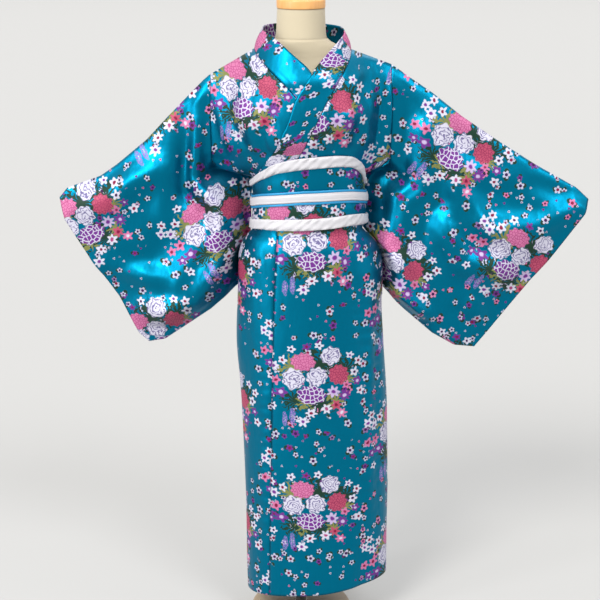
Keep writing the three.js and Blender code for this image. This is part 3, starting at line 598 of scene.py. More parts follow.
def body_fold(face, points):
    """Depth of the folds at points of the body, quiet at the shoulder fold and under the obi."""
    x, z = points[..., 0], points[..., 2]
    drawn = crease_depth(x, z, FRONT_CREASES if face == FRONT else BACK_CREASES)
    waves = HEM_WAVE["depth"] * np.sin(x / HEM_WAVE["length"] + 0.6 * face)
    hem = bell(z - HEM_WAVE["z"], HEM_WAVE["high"]) * waves
    fine = FINE_WAVE * ripples(x, z, SEEDS[face])
    free = ease((shoulder_height(x) - z - 6) / 50) * ease((ARMHOLE_X + 7 - np.abs(x)) / 8)
    return (drawn + hem + fine) * obi_press(face, points) * free


def fold_body(face, points, normals):
    """Moves points of the body out by its folds."""
    return points + normals * body_fold(face, points)[..., None]


print("fold depth at the chest:", body_fold(FRONT, np.array([[100.0, -100.0, 1200.0]])).round(2))

# %% [markdown]
# ## Flowered satin
# The print repeats in a half-drop: each column of bouquets starts half a repeat lower than the last.
# Each flower is a formula of its distance and angle from its own middle.
# A formula stays sharp at any size, and the same one serves every piece of the garment.


# %% Node arithmetic
class Field:
    """A value worked out in a material's nodes, which takes part in ordinary arithmetic."""

    def __init__(self, tree, socket):
        """Keeps the material's node tree and the socket that gives the value."""
        self.tree = tree
        self.socket = socket

    def math(self, operation, *others, hold=False):
        """This value and others through a Math node, held between nought and one if asked."""
        node = self.tree.nodes.new("ShaderNodeMath")
        node.operation = operation
        node.use_clamp = hold
        for entry, value in zip(node.inputs, (self, *others)):
            feed(self.tree, value, entry)
        return Field(self.tree, node.outputs[0])

    def held(self):
        """This value, held between nought and one."""
        return self.math("ADD", 0.0, hold=True)

    def vector(self, operation, *others, result=0):
        """This vector and others through a Vector Math node."""
        node = self.tree.nodes.new("ShaderNodeVectorMath")
        node.operation = operation
        for entry, value in zip(node.inputs, (self, *others)):
            feed(self.tree, value, entry)
        return Field(self.tree, node.outputs[result])

    def __add__(self, other):
        """The sum of this value and another."""
        return self.math("ADD", other)

    def __sub__(self, other):
        """This value less another."""
        return self.math("SUBTRACT", other)

    def __mul__(self, other):
        """This value times another."""
        return self.math("MULTIPLY", other)


def feed(tree, value, entry):
    """Links a field to an entry, or sets the entry to a constant."""
    if isinstance(value, Field):
        tree.links.new(value.socket, entry)
    else:
        entry.default_value = value


def split(field):
    """The first two coordinates of a vector."""
    node = field.tree.nodes.new("ShaderNodeSeparateXYZ")
    feed(field.tree, field, node.inputs[0])
    return Field(field.tree, node.outputs[0]), Field(field.tree, node.outputs[1])


def join(x, y):
    """A vector from two coordinates."""
    node = x.tree.nodes.new("ShaderNodeCombineXYZ")
    feed(x.tree, x, node.inputs[0])
    feed(x.tree, y, node.inputs[1])
    return Field(x.tree, node.outputs[0])


print("made: a field that can be added, subtracted, multiplied, split and joined")


# %% Colours and random fields
def blend(under, over, share):
    """One colour over another by a share."""
    tree = share.tree
    node = tree.nodes.new("ShaderNodeMix")
    node.data_type = "RGBA"
    feed(tree, share, node.inputs["Factor"])
    for name, value in (("A", under), ("B", over)):
        entry = next(s for s in node.inputs if s.name == name and s.type == "RGBA")
        feed(tree, value if isinstance(value, Field) else (*value, 1), entry)
    return Field(tree, next(s for s in node.outputs if s.type == "RGBA"))


def colour(red, green, blue):
    """A screen colour, 0 to 255, as the linear values that light uses."""
    share = np.array([red, green, blue]) / 255
    return tuple(np.where(share > 0.04045, ((share + 0.055) / 1.055) ** 2.4, share / 12.92).tolist())


def noise(place, scale, detail=1.0):
    """A soft random value at a place."""
    node = place.tree.nodes.new("ShaderNodeTexNoise")
    feed(place.tree, place, node.inputs["Vector"])
    node.inputs["Scale"].default_value = scale
    node.inputs["Detail"].default_value = detail
    return Field(place.tree, node.outputs["Fac"]), Field(place.tree, node.outputs["Color"])


def cells(place, scale, feature="F1", random=1.0):
    """Scattered cells: the distance, the cell's random colour and its middle."""
    node = place.tree.nodes.new("ShaderNodeTexVoronoi")
    node.voronoi_dimensions = "2D"
    node.feature = feature
    feed(place.tree, place, node.inputs["Vector"])
    node.inputs["Scale"].default_value = scale
    node.inputs["Randomness"].default_value = random
    return {socket.name: Field(place.tree, socket) for socket in node.outputs}


print("mid grey as light:", round(colour(128, 128, 128)[0], 3))

# %% [markdown]
# ## Flowers of one repeat
# A bouquet of peonies and round flowers fills the middle of each repeat, with leaves behind it.
# Each row gives the colours or the kind, the place, half the width and height, and the petals.
# A woven or printed kimono cloth would hold the same drawing over and over, as here.

# %% Flowers
WHITE = colour(186, 185, 201)
PALE = colour(166, 166, 188)
SHADE = colour(98, 92, 132)
PINK = colour(182, 104, 144)
DEEP_PINK = colour(146, 60, 108)
CORAL = colour(162, 68, 94)
DEEP_CORAL = colour(122, 36, 72)
PURPLE = colour(98, 42, 122)
DEEP_PURPLE = colour(50, 14, 66)
MAROON = colour(112, 12, 52)
LILAC = colour(174, 158, 192)
WISTERIA = colour(122, 102, 168)
LEAF = colour(20, 50, 38)
OLIVE = colour(112, 116, 66)
SATIN = colour(0, 111, 143)
COLUMN = 250.0
REPEAT = 316.0
BIG_FLOWERS = [
    ("purple", -6, -30, 35, 24, 9),
    ("pompon", -26, 50, 30, 22, 11),
    ("peony", 38, 64, 25, 23, 8),
    ("coral", 57, 18, 25, 25, 10),
    ("peony", -48, 8, 28, 27, 7),
    ("peony", 6, 15, 25, 24, 9),
]
SMALL_FLOWERS = [
    (WISTERIA, LILAC, -50, -84, 7, 21, 0),
    (WISTERIA, LILAC, -68, -92, 7, 18, 0),
    (LILAC, PURPLE, 45, -23, 16, 16, 7),
    (PURPLE, LILAC, 71, -33, 15, 15, 9),
    (PURPLE, LILAC, -78, -26, 18, 13, 5),
    (PINK, MAROON, -91, 2, 14, 13, 5),
    (PINK, DEEP_CORAL, 76, -8, 11, 11, 5),
    (CORAL, MAROON, 52, -56, 13, 13, 6),
    (WHITE, DEEP_PINK, 30, -64, 14, 13, 6),
    (PINK, WHITE, 66, -76, 13, 12, 6),
    (WHITE, MAROON, -6, -74, 14, 12, 6),
    (WHITE, PURPLE, -26, -96, 15, 13, 6),
    (WHITE, PURPLE, -96, 36, 14, 13, 6),
    (WHITE, MAROON, -74, 52, 12, 12, 5),
    (WHITE, DEEP_PURPLE, 96, 22, 12, 12, 5),
    (WHITE, PURPLE, -117, 46, 13, 12, 6),
    (WHITE, MAROON, -104, 64, 11, 11, 6),
    (PINK, MAROON, -116, -2, 13, 12, 5),
    (PURPLE, LILAC, -103, -30, 12, 11, 5),
    (WHITE, DEEP_PURPLE, -98, -62, 10, 10, 5),
    (WHITE, MAROON, 106, 46, 12, 11, 5),
    (PURPLE, LILAC, 103, -2, 11, 11, 5),
    (WHITE, MAROON, 112, -26, 12, 12, 5),
    (WHITE, DEEP_PURPLE, 10, 90, 11, 10, 5),
    (PURPLE, MAROON, -18, 86, 10, 9, 5),
    (WHITE, DEEP_PURPLE, -54, 80, 12, 10, 5),
    (WHITE, PURPLE, 84, 62, 11, 10, 5),
]
LEAVES = [
    (LEAF, 14, 44, 66, 50, 13),
    (OLIVE, -54, 34, 34, 36, 9),
    (LEAF, -44, -44, 40, 32, 11),
    (OLIVE, -20, -48, 26, 22, 7),
    (LEAF, 20, -50, 46, 32, 13),
    (OLIVE, 50, -46, 24, 22, 7),
    (LEAF, 74, 30, 36, 34, 11),
    (OLIVE, 78, 6, 24, 18, 7),
]
print("leaves behind a bouquet:", len(LEAVES))

# %% [markdown]
# ## Printing the flowers
# A flower is one inside its outline and nought outside it, which covers what lies under it.
# Its outline is a circle whose radius waves with the cosine of the angle, one wave a petal.
# Fine lines come from the borders of random cells, as veins or curled petals would.


# %% Print
BLOSSOMS = ((0.023, 0.23, 1.1, 5.0), (0.035, 0.25, 1.16, 5.0), (0.06, 0.2, 1.3, 3.0))
WARP = 9
VEINS = {"fine": (0.16, 0.35), "coarse": (0.1, 0.4)}


def polar(place, x, y, half_wide, half_high):
    """Distance from a middle in units of the flower's size, and the angle round it."""
    scaled = place.vector(
        "MULTIPLY_ADD", (1 / half_wide, 1 / half_high, 0), (-x / half_wide, -y / half_high, 0)
    )
    reach = scaled.vector("LENGTH", result=1)
    across, up = split(scaled)
    return reach, up.math("ARCTAN2", across)


def petals(reach, angle, count, depth, crisp):
    """One inside a scalloped outline and nought outside, its edge waving with the cosine of count angles."""
    edge = (angle * float(count)).math("COSINE") * depth + (1 - depth)
    return ((edge - reach) * crisp).math("ADD", 0.5, hold=True)


def veins(place, kind):
    """Thin lines between scattered cells: nought on a line, one beside it."""
    scale, width = VEINS[kind]
    border = cells(place, scale, "DISTANCE_TO_EDGE")["Distance"]
    return (border * 9.0).math("SUBTRACT", width, hold=True)


def repeat_place(place):
    """The place within one repeat of the print, measured from the middle of its bouquet."""
    u, v = split(place)
    column = (u * (1 / COLUMN)).math("FLOOR")
    dropped = column.math("FLOORED_MODULO", 2.0) * (REPEAT / 2) + v
    across = u - (column + 0.5) * COLUMN
    return join(across, (dropped * (1 / REPEAT)).math("FRACT") * REPEAT - REPEAT / 2)


print("vein patterns:", ", ".join(VEINS))


# %% Bouquets
def flower_print(place):
    """The print at a place on the flat cloth: its colour, and how much of the satin it covers."""
    warp_amount, warp = noise(place, 0.06, 2.0)
    middle = repeat_place(warp.vector("MULTIPLY_ADD", (WARP, WARP, 0), place))
    fine_lines, coarse_lines = veins(middle, "fine"), veins(middle, "coarse")
    shade, ink = scatter(place, SATIN)
    for tone, x, y, wide, high, count in LEAVES:
        reach, angle = polar(middle, x, y, wide, high)
        leaf = petals(reach, angle + warp_amount * 1.8, count, 0.4, 9.0)
        shade, ink = blend(shade, tone, leaf), ink.math("MAXIMUM", leaf)
    for outer, inner, x, y, wide, high, count in SMALL_FLOWERS:
        reach, angle = polar(middle, x, y, wide, high)
        flower = petals(reach, angle, count, 0.22, 7.0)
        if not count:
            flower = flower * fine_lines
        heart = ((reach * -6.0) + 2.3).held()
        shade = blend(shade, blend(outer, inner, heart), flower)
        ink = ink.math("MAXIMUM", flower)
    for kind, x, y, wide, high, count in BIG_FLOWERS:
        reach, angle = polar(middle, x, y, wide, high)
        flower = petals(reach, angle, count, 0.07, 12.0)
        swirl = ((reach * 19.0) + warp_amount * 30.0 + angle).math("SINE")
        tones = {
            "purple": (WHITE, PURPLE, coarse_lines),
            "pompon": (DEEP_PINK, PINK, fine_lines),
            "coral": (DEEP_CORAL, CORAL, fine_lines),
            "peony": (SHADE, WHITE, (swirl * 1.1).math("ADD", 1.0, hold=True)),
        }
        shade = blend(shade, blend(*tones[kind]), flower)
        ink = ink.math("MAXIMUM", flower)
    return shade, ink


print("flowers drawn:", len(SMALL_FLOWERS), "small and", len(BIG_FLOWERS), "big")


# %% Strewn blossoms
def scatter(place, ground):
    """Small blossoms strewn in loose groups between the bouquets, with two leaves under most of them."""
    shade, ink = ground, None
    groups, _ = noise(place, 0.013, 1.0)
    for scale, radius, fewest, count in BLOSSOMS:
        found = cells(place, scale, random=0.8)
        offset = found["Position"].vector("SUBTRACT", place)
        reach = offset.vector("LENGTH", result=1) * scale
        across, up = split(offset)
        draw, second = split(found["Color"])
        angle = up.math("ARCTAN2", across) + draw * 40.0
        shown = (((draw + groups) - fewest) * 60.0).held()
        two_leaves = angle.math("SINE").math("ABSOLUTE").math("POWER", 3.0)
        leaf_edge = two_leaves * (radius * 0.9) + radius * 0.6
        leaf = ((leaf_edge - reach) * 30.0).held() * shown
        petal_edge = (angle * (count / 2)).math("COSINE").math("ABSOLUTE") * (radius * 0.45) + radius * 0.55
        flower = ((petal_edge - reach) * 40.0).held() * shown
        heart = ((reach * -40.0) + radius * 17.0).held()
        dark = (second * 30.0).math("SUBTRACT", 22.5, hold=True)
        rosy = (second * -30.0).math("ADD", 3.6, hold=True)
        petal = blend(blend(PALE, PINK, rosy), PURPLE, dark)
        heart_tone = blend(MAROON, DEEP_PURPLE, (draw * 30.0).math("SUBTRACT", 21.0, hold=True))
        covered = flower
        if count == 5.0:
            shade, covered = blend(shade, LEAF, leaf), flower.math("MAXIMUM", leaf)
        shade = blend(shade, blend(petal, heart_tone, heart), flower)
        ink = covered if ink is None else ink.math("MAXIMUM", covered)
    return shade, ink


print("repeat of the print:", COLUMN, "by", REPEAT, "mm")

# %% [markdown]
# ## Materials
# Satin is smooth along its threads, so it mirrors its surroundings softly in its own colour.
# The printed ink is matter, so metallic and roughness follow how much ink covers the satin.
# White satin, jersey, steel and enamel are plain tones, and the turned wood mixes two browns.


# %% Surfaces
def principled(name):
    """A new material and its main surface node."""
    made = bpy.data.materials.new(name)
    made.use_nodes = True
    return made, made.node_tree.nodes["Principled BSDF"]


def own_places(tree):
    """The piece's own coordinates, in metres."""
    node = tree.nodes.new("ShaderNodeTexCoord")
    return Field(tree, node.outputs["Object"])


def add_bump(surface, height, distance, strength):
    """Raises the shading by a height field."""
    tree = height.tree
    node = tree.nodes.new("ShaderNodeBump")
    node.inputs["Distance"].default_value = distance
    node.inputs["Strength"].default_value = strength
    feed(tree, height, node.inputs["Height"])
    tree.links.new(node.outputs["Normal"], surface.inputs["Normal"])


print("made: a new material, its own places and a bump for it")


# %% Materials
SATIN_LOOK = {"Metallic": (0.92, 0.17), "Roughness": (0.42, 0.5)}


def flowered_satin():
    """Teal satin with the flower print: bright on folds, with matter flowers."""
    made, surface = principled("flowered_satin")
    tree = made.node_tree
    map_node = tree.nodes.new("ShaderNodeUVMap")
    map_node.uv_map = "cloth"
    place = Field(tree, map_node.outputs["UV"]).vector("MULTIPLY", (1000, 1000, 0))
    shade, ink = flower_print(place)
    feed(tree, shade, surface.inputs["Base Color"])
    for entry, (bare, inked) in SATIN_LOOK.items():
        feed(tree, ink * (inked - bare) + bare, surface.inputs[entry])
    surface.inputs["Specular IOR Level"].default_value = 0.2
    drawn_out = own_places(tree).vector("MULTIPLY", (1.0, 1.0, 0.4))
    soft, _ = noise(drawn_out, 34.0, 2.0)
    add_bump(surface, soft, 0.004, 0.5)
    return made


def plain(name, tone, rough, metallic, bump, sheen):
    """A material of one tone, with a finely uneven surface where a bump is given."""
    made, surface = principled(name)
    surface.inputs["Base Color"].default_value = (*tone, 1)
    surface.inputs["Roughness"].default_value = rough
    surface.inputs["Metallic"].default_value = metallic
    surface.inputs["Sheen Weight"].default_value = sheen
    if bump:
        scale, distance = bump
        height, _ = noise(own_places(made.node_tree), scale, 3.0)
        add_bump(surface, height, distance, 0.5)
    return made


def wood():
    """Turned wood: two browns, mixed by a noise that is drawn out one way."""
    made, surface = principled("cap_wood")
    tree = made.node_tree
    own = own_places(tree)
    uneven, _ = noise(own, 14.0, 3.0)
    stretched = own.vector("MULTIPLY", (1, 8, 1))
    grain, _ = noise(stretched, 30.0, 3.0)
    late = (grain + uneven * 0.5).math("SUBTRACT", 0.3, hold=True)
    tone = blend(colour(196, 138, 78), colour(228, 176, 112), late)
    feed(tree, tone, surface.inputs["Base Color"])
    surface.inputs["Roughness"].default_value = 0.42
    return made


PLAIN = {
    "white_satin": (colour(186, 185, 190), 0.45, 0.0, (90.0, 0.0012), 0.1),
    "pale_blue_satin": (colour(40, 140, 190), 0.4, 0.3, None, 0.0),
    "form_jersey": (colour(180, 169, 145), 0.85, 0.0, (900.0, 0.0006), 0.15),
    "pole_steel": (colour(168, 164, 156), 0.38, 0.85, None, 0.0),
    "base_enamel": (colour(150, 132, 108), 0.5, 0.0, (300.0, 0.0004), 0.0),
    "floor_paint": ((0.3, 0.3, 0.3), 1.0, 0.0, None, 0.0),
}
FINISH = {"flowered_satin": flowered_satin(), "cap_wood": wood()}
FINISH.update({name: plain(name, *look) for name, look in PLAIN.items()})
print("materials:", ", ".join(FINISH))

# %% [markdown]
# ## Floor
# The form stands on a plain pale floor, wide enough to fill the view up to the horizon.
# The floor gives off a little light of its own, which softens the shadow at the hem.

# %% Floor
FLOOR_HALF = 60.0
FLOOR_GLOW = ((1.0, 0.992, 0.952), 0.2)
floor_surface = FINISH["floor_paint"].node_tree.nodes["Principled BSDF"]
floor_surface.inputs["Specular IOR Level"].default_value = 0.0
floor_surface.inputs["Emission Color"].default_value = (*FLOOR_GLOW[0], 1)
floor_surface.inputs["Emission Strength"].default_value = FLOOR_GLOW[1]
corners = np.array([(-1, -1, 0), (1, -1, 0), (1, 1, 0), (-1, 1, 0)]) * FLOOR_HALF / MM
mesh_object("floor", corners, [[0, 1, 2, 3]], "floor_paint")
print("floor:", 2 * FLOOR_HALF, "m wide")

# %% [markdown]
# ## The two body pieces
# A kimono body is one length of cloth on each side, from the back hem over the shoulder to the front hem.
# It is sewn to its neighbour down the middle of the back and at the sides.
# Cutting it so, in straight strips, wastes no cloth, and the folds come from the wearing alone.

# %% Body pieces
ROW_STEP = 6.0
HEM_ROW = 80.0
BODY_COLUMNS = 48
PRINT_MIDDLE = np.array([COLUMN / 2, REPEAT / 2])
SKIRT_BOUQUET = np.array([38, 628])
CHEST_BOUQUET = np.array([-128, 1290])
TUCK_Z = 1060
SEAM_DIP = 0.9
SEAM_WIDTH = 3.5


def seam_dip(lengths):
    """A shallow valley along both edges of a piece, where a seam draws the cloth in."""
    edges = bell(lengths, SEAM_WIDTH) + bell(lengths[..., -1:] - lengths, SEAM_WIDTH)
    return SEAM_DIP * edges


def body_half(side, face, rows):
    """The points of one side's front or back, from its inner edge to the side seam."""
    sign = 1 if side == "left" else -1
    side_angle = sign * lerp(np.pi / 2, SIDE_ANGLE, ease((rows - 1100) / (ARMHOLE_BOTTOM_Z - 1100)))
    edge = cloth_point(face, np.zeros_like(rows), rows)[:, 0] + sign * HALF_SEAM
    if face == FRONT:
        edge = FRONT_EDGE[side](rows)
    else:
        edge = np.where(rows > BACK_NECK_ROW, BACK_EDGE[side](rows), edge)
    points, normals, grid_rows = worn_grid(face, angle_at(face, edge, rows), side_angle, rows, BODY_COLUMNS)
    if face == FRONT and side == "left":
        points = points + normals * over_lift(points[..., 0], grid_rows)[..., None]
    lengths = arc_lengths(points, axis=1)
    points = fold_body(face, points, normals)
    dip = seam_dip(lengths) * ease((SHOULDER_Z - grid_rows) / 12)
    return points - normals * dip[..., None], lengths


def body_piece(side):
    """One body piece and its places on the flat cloth, which jump at the tuck taken up under the obi."""
    back_rows = np.arange(HEM_ROW, SHOULDER_Z - 3, ROW_STEP)
    front_rows = np.append(back_rows, SHOULDER_Z)[::-1]
    back, back_lengths = body_half(side, BACK, back_rows)
    front, front_lengths = body_half(side, FRONT, front_rows)
    points = np.concatenate([back, front])
    sign = 1 if side == "left" else -1
    edges = np.concatenate([back[:, 0, 0], front[:, 0, 0]])
    around = sign * np.concatenate([back_lengths, front_lengths]) + edges[:, None]
    above_tuck = (points[..., 2:] > TUCK_Z) & (side == "right")
    flat = np.stack([around, points[..., 2]], axis=-1)
    flat = flat - np.where(above_tuck, CHEST_BOUQUET, SKIRT_BOUQUET) + PRINT_MIDDLE
    flat[: len(back), :, 0] *= -1
    return points, flat


for side in ("left", "right"):
    points, flat = body_piece(side)
    cloth(f"body_{side}", points, flat, on_axis(points))
print("body grid:", points.shape[:2])

# %% [markdown]
# ## The overlaps
# Below the collar a narrow panel widens each front, so that the skirt closes over itself.
# The wearer's left overlap lies on top, and its free edge runs down the right side of the body.
# The edge lifts a little at the thigh, where the layers under it slide.


# %% Overlaps
OVER_END_ANGLE = np.radians(-84)
UNDER_END_X = 118
OVERLAP_COLUMNS = 26
OVERLAP_BOUQUET = np.array([34, 700])


def overlap_piece(side):
    """One overlap panel, from the seam with the body to its free edge."""
    rows = np.arange(COLLAR_END_ROW - 1, HEM_ROW - 0.1, -5.0)
    sign = -1 if side == "left" else 1
    start = angle_at(FRONT, FRONT_EDGE[side](rows) + sign * SEAM_STEP, rows)
    end = np.full_like(rows, OVER_END_ANGLE) if side == "left" else angle_at(FRONT, UNDER_END_X, rows)
    points, normals, _ = worn_grid(FRONT, start, end, rows, OVERLAP_COLUMNS)
    if side == "left":
        shares = np.linspace(0, 1, OVERLAP_COLUMNS)
        flare = 8 * bell(points[..., 2] - 700, 90) * ease((shares - 0.5) / 0.5)
        hem_roll = 1.2 * ease((shares - 0.8) / 0.2) * np.sin(points[..., 2] / 70)
        points = points + normals * (OVER_FRONT_LIFT + flare + hem_roll)[..., None]
    lengths = arc_lengths(points, axis=1)
    dip = SEAM_DIP * bell(lengths, SEAM_WIDTH)
    points = fold_body(FRONT, points, normals) - normals * dip[..., None]
    flat = np.stack([sign * lengths + points[:, :1, 0], points[..., 2]], axis=-1)
    return points, flat - OVERLAP_BOUQUET + PRINT_MIDDLE


for side in ("left", "right"):
    points, flat = overlap_piece(side)
    cloth(f"overlap_{side}", points, flat, on_axis(points))
print("overlap grid:", points.shape[:2])

# %% [markdown]
# ## The collar
# The collar is one long folded strip, sewn along the neck and both fronts.
# It stands away from the neck behind and crosses on the chest, the wearer's left over the right.
# Being double, it is stiffer than the body and folds less.

# %% Collar
COLLAR_CHEST = {
    "left": table(
        "row x z",
        [
            (1006, -98, 1006), (1040, -97, 1040), (1074, -96, 1074), (1100, -93, 1100), (1124, -86, 1122),
            (1150, -71, 1142), (1178, -56, 1166), (1210, -42, 1196), (1245, -26, 1234), (1278, -13, 1275),
            (1308, 10, 1312), (1335, 34, 1347),
        ],
    ),
    "right": table(
        "row x z",
        [
            (1006, 112, 1006), (1074, 112, 1074), (1100, 112, 1102), (1124, 110, 1130), (1150, 106, 1162),
            (1178, 97, 1198), (1210, 84, 1236), (1245, 64, 1276), (1278, 42, 1310), (1308, 14, 1346),
        ],
    ),
}
COLLAR_CHEST_TOP = {"left": 1335, "right": 1308}
COLLAR_NECK = {
    "left": [
        (FRONT, 1358, 60, -64, 1376), (FRONT, 1374, 84, -36, 1400), (FRONT, 1382, 97, -4, 1416),
        (BACK, 1374, 92, 34, 1424), (BACK, 1362, 62, 70, 1428),
    ],
    "right": [
        (FRONT, 1335, -18, -82, 1374), (FRONT, 1358, -46, -62, 1398), (FRONT, 1374, -70, -34, 1414),
        (FRONT, 1382, -86, -2, 1422), (BACK, 1374, -84, 34, 1427), (BACK, 1362, -56, 70, 1430),
    ],
}
COLLAR_CENTRE_BACK = np.array([0.0, 88.0, 1430.0])
COLLAR_THICK = 2.2
COLLAR_COLUMNS = 15
COLLAR_STEP = 6.0
COLLAR_BOW = 3
COLLAR_BOUQUET = np.array([-74, -44])
print("collar tables:", len(COLLAR_NECK["left"] + COLLAR_NECK["right"]), "lines round the neck")

# %% [markdown]
# ## From seam to free edge
# Each line of the collar runs from the neck seam to its free edge.
# On the chest it lies on the body, and round the neck it stands and bows outwards.
# A smooth curve through these lines makes one strip of them.

# %% Collar formulas
COLLAR_SHARES = np.linspace(0, 1, COLLAR_COLUMNS)


def seam_line(side, face, rows):
    """Points of the neck seam of one side."""
    edge = (FRONT_EDGE if face == FRONT else BACK_EDGE)[side](rows)
    angles = angle_at(face, edge, rows)
    points = cloth_point(face, angles, rows)
    if face == FRONT and side == "left":
        lift = over_lift(points[..., 0], rows)
        points = points + cloth_normal(face, angles, rows) * lift[..., None]
    return points


def step_from(seam, free):
    """The seam points, moved a hair towards the free edge."""
    away = free - seam
    return seam + away / np.linalg.norm(away, axis=-1, keepdims=True) * SEAM_STEP


def collar_chest(side):
    """The flat part of the collar on the chest, as lines from the seam to the free edge."""
    rows = np.arange(COLLAR_END_ROW, COLLAR_CHEST_TOP[side] + 0.1, COLLAR_STEP)
    lift = over_lift(np.zeros_like(rows), rows) if side == "left" else np.zeros_like(rows)
    free_x, free_z = COLLAR_CHEST[side]["x"](rows), COLLAR_CHEST[side]["z"](rows)
    free = on_front(free_x, free_z, lift)
    seam = step_from(seam_line(side, FRONT, rows), free)
    x = lerp(seam[:, :1], free_x[:, None], COLLAR_SHARES)
    z = lerp(seam[:, 2:], free_z[:, None], COLLAR_SHARES)
    grid = on_front(x, z, np.broadcast_to(lift[:, None], x.shape))
    grid[:, 0] = seam
    return fold_body(FRONT, grid, outward_normals(grid, on_axis(grid, 0)))


def collar_neck(side):
    """The standing part of the collar round the neck, bowed a little outwards."""
    marks = COLLAR_NECK[side]
    free = np.array([mark[2:] for mark in marks], float)
    seam = np.stack([seam_line(side, face, np.array(float(row))) for face, row, *_ in marks])
    seam = step_from(seam, free)
    grid = lerp(seam[:, None], free[:, None], COLLAR_SHARES[:, None])
    level_way = grid * np.array([1, 1, 0])
    outward = level_way / np.linalg.norm(level_way, axis=-1, keepdims=True)
    return grid + outward * (COLLAR_BOW * np.sin(np.pi * COLLAR_SHARES))[:, None]


def collar_back():
    """The line of the collar at the middle of the back."""
    free = COLLAR_CENTRE_BACK[None]
    seam = step_from(cloth_point(BACK, 0.0, float(BACK_NECK_ROW))[None], free)
    grid = lerp(seam[:, None], free[:, None], COLLAR_SHARES[:, None])
    grid[..., 1] += COLLAR_BOW * np.sin(np.pi * COLLAR_SHARES)
    return grid


def smooth_rows(grid):
    """Evenly spaced lines through sparse ones, each point on a smooth curve along the collar."""
    spine = arc_lengths(grid[:, COLLAR_COLUMNS // 2][:, None], axis=0)[:, 0]
    wanted = np.linspace(spine[0], spine[-1], int(spine[-1] / COLLAR_STEP))
    columns = [[through(spine, grid[:, c, k])(wanted) for k in range(3)] for c in range(COLLAR_COLUMNS)]
    return np.transpose(np.array(columns), (2, 0, 1))


def collar_piece():
    """The whole collar, from its left end over the neck to its right end."""
    left = np.concatenate([collar_chest("left"), collar_neck("left")])
    right = np.concatenate([collar_chest("right"), collar_neck("right")])
    points = smooth_rows(np.concatenate([left, collar_back(), right[::-1]]))
    lengths = arc_lengths(points, axis=0).mean(axis=1, keepdims=True)
    widths = arc_lengths(points, axis=1)
    flat = np.stack([widths, lengths - lengths[-1] / 2 + 0 * widths], axis=-1)
    return points, flat - COLLAR_BOUQUET


points, flat = collar_piece()
cloth("collar", points, flat, on_axis(points, 0), thick=COLLAR_THICK)
print("collar grid:", points.shape[:2])

# %% [markdown]
# ## The sleeves
# Each sleeve is a deep flat tube that hangs from the armhole, with its mouth part open.
# Its outline is blended from four drawn edges, and its depth swells between them.
# The same folds push both layers the same way, as they do when a hanging sleeve buckles.

# %% Sleeve tables
SLEEVES = {
    "left": {
        "top": [
            (205.5, 1343), (255, 1308), (296, 1281), (366, 1226), (448, 1171), (537, 1115), (637, 1059),
            (666, 1032),
        ],
        "mouth": [(666, 1032), (658, 1002), (576, 888), (507, 800), (439, 712), (412, 678)],
        "bottom": [(195, 817), (213, 800), (243, 771), (311, 712), (364, 682), (412, 678)],
        "inner": [
            (205.5, 1343), (205.5, 1128), (203, 1114), (186, 1103), (167, 1092), (156, 1078), (146, 990),
            (142, 965), (160, 943), (178, 918), (185, 885), (189, 850), (195, 817),
        ],
        "folds": [
            ([(0.03, 0.05), (0.1, 0.45), (0.15, 0.75)], 24, -14),
            ([(0.13, 0.2), (0.14, 0.5), (0.2, 0.95)], 26, 14),
            ([(1, 0.03), (0.85, 0.25), (0.62, 0.38), (0.4, 0.3), (0.2, 0.15)], 30, 20),
            ([(0.85, 0.08), (0.6, 0.18), (0.35, 0.1)], 26, -10),
            ([(0.02, 0.97), (0.25, 0.95), (0.5, 0.93)], 22, 12),
            ([(0.9, 0.85), (0.75, 0.7)], 20, 8),
        ],
    },
    "right": {
        "top": [
            (-205.5, 1321), (-221, 1308), (-248, 1281), (-302, 1226), (-354, 1171), (-422, 1115),
            (-462, 1087), (-540, 1059), (-559, 1036),
        ],
        "mouth": [(-559, 1036), (-547, 988), (-487, 888), (-427, 800), (-384, 712), (-361, 691)],
        "bottom": [(-150, 824), (-180, 800), (-213, 771), (-256, 742), (-323, 697), (-361, 691)],
        "inner": [
            (-205.5, 1321), (-205.5, 1128), (-203, 1114), (-184, 1103), (-158, 1092), (-134, 1082),
            (-123, 1066), (-117, 1040), (-117, 990), (-117, 965), (-120, 943), (-132, 920), (-138, 885),
            (-141, 850), (-150, 824),
        ],
        "folds": [
            ([(0.04, 0.03), (0.2, 0.5), (0.33, 0.8)], 22, 22),
            ([(0.12, 0.1), (0.22, 0.3), (0.3, 0.5)], 30, -12),
            ([(0.45, 0.12), (0.7, 0.09), (1, 0.1)], 25, 12),
            ([(0.98, 0.45), (0.62, 0.72), (0.35, 0.62)], 28, 16),
            ([(0.9, 0.8), (0.45, 0.9), (0.2, 0.8)], 24, 12),
        ],
    },
}
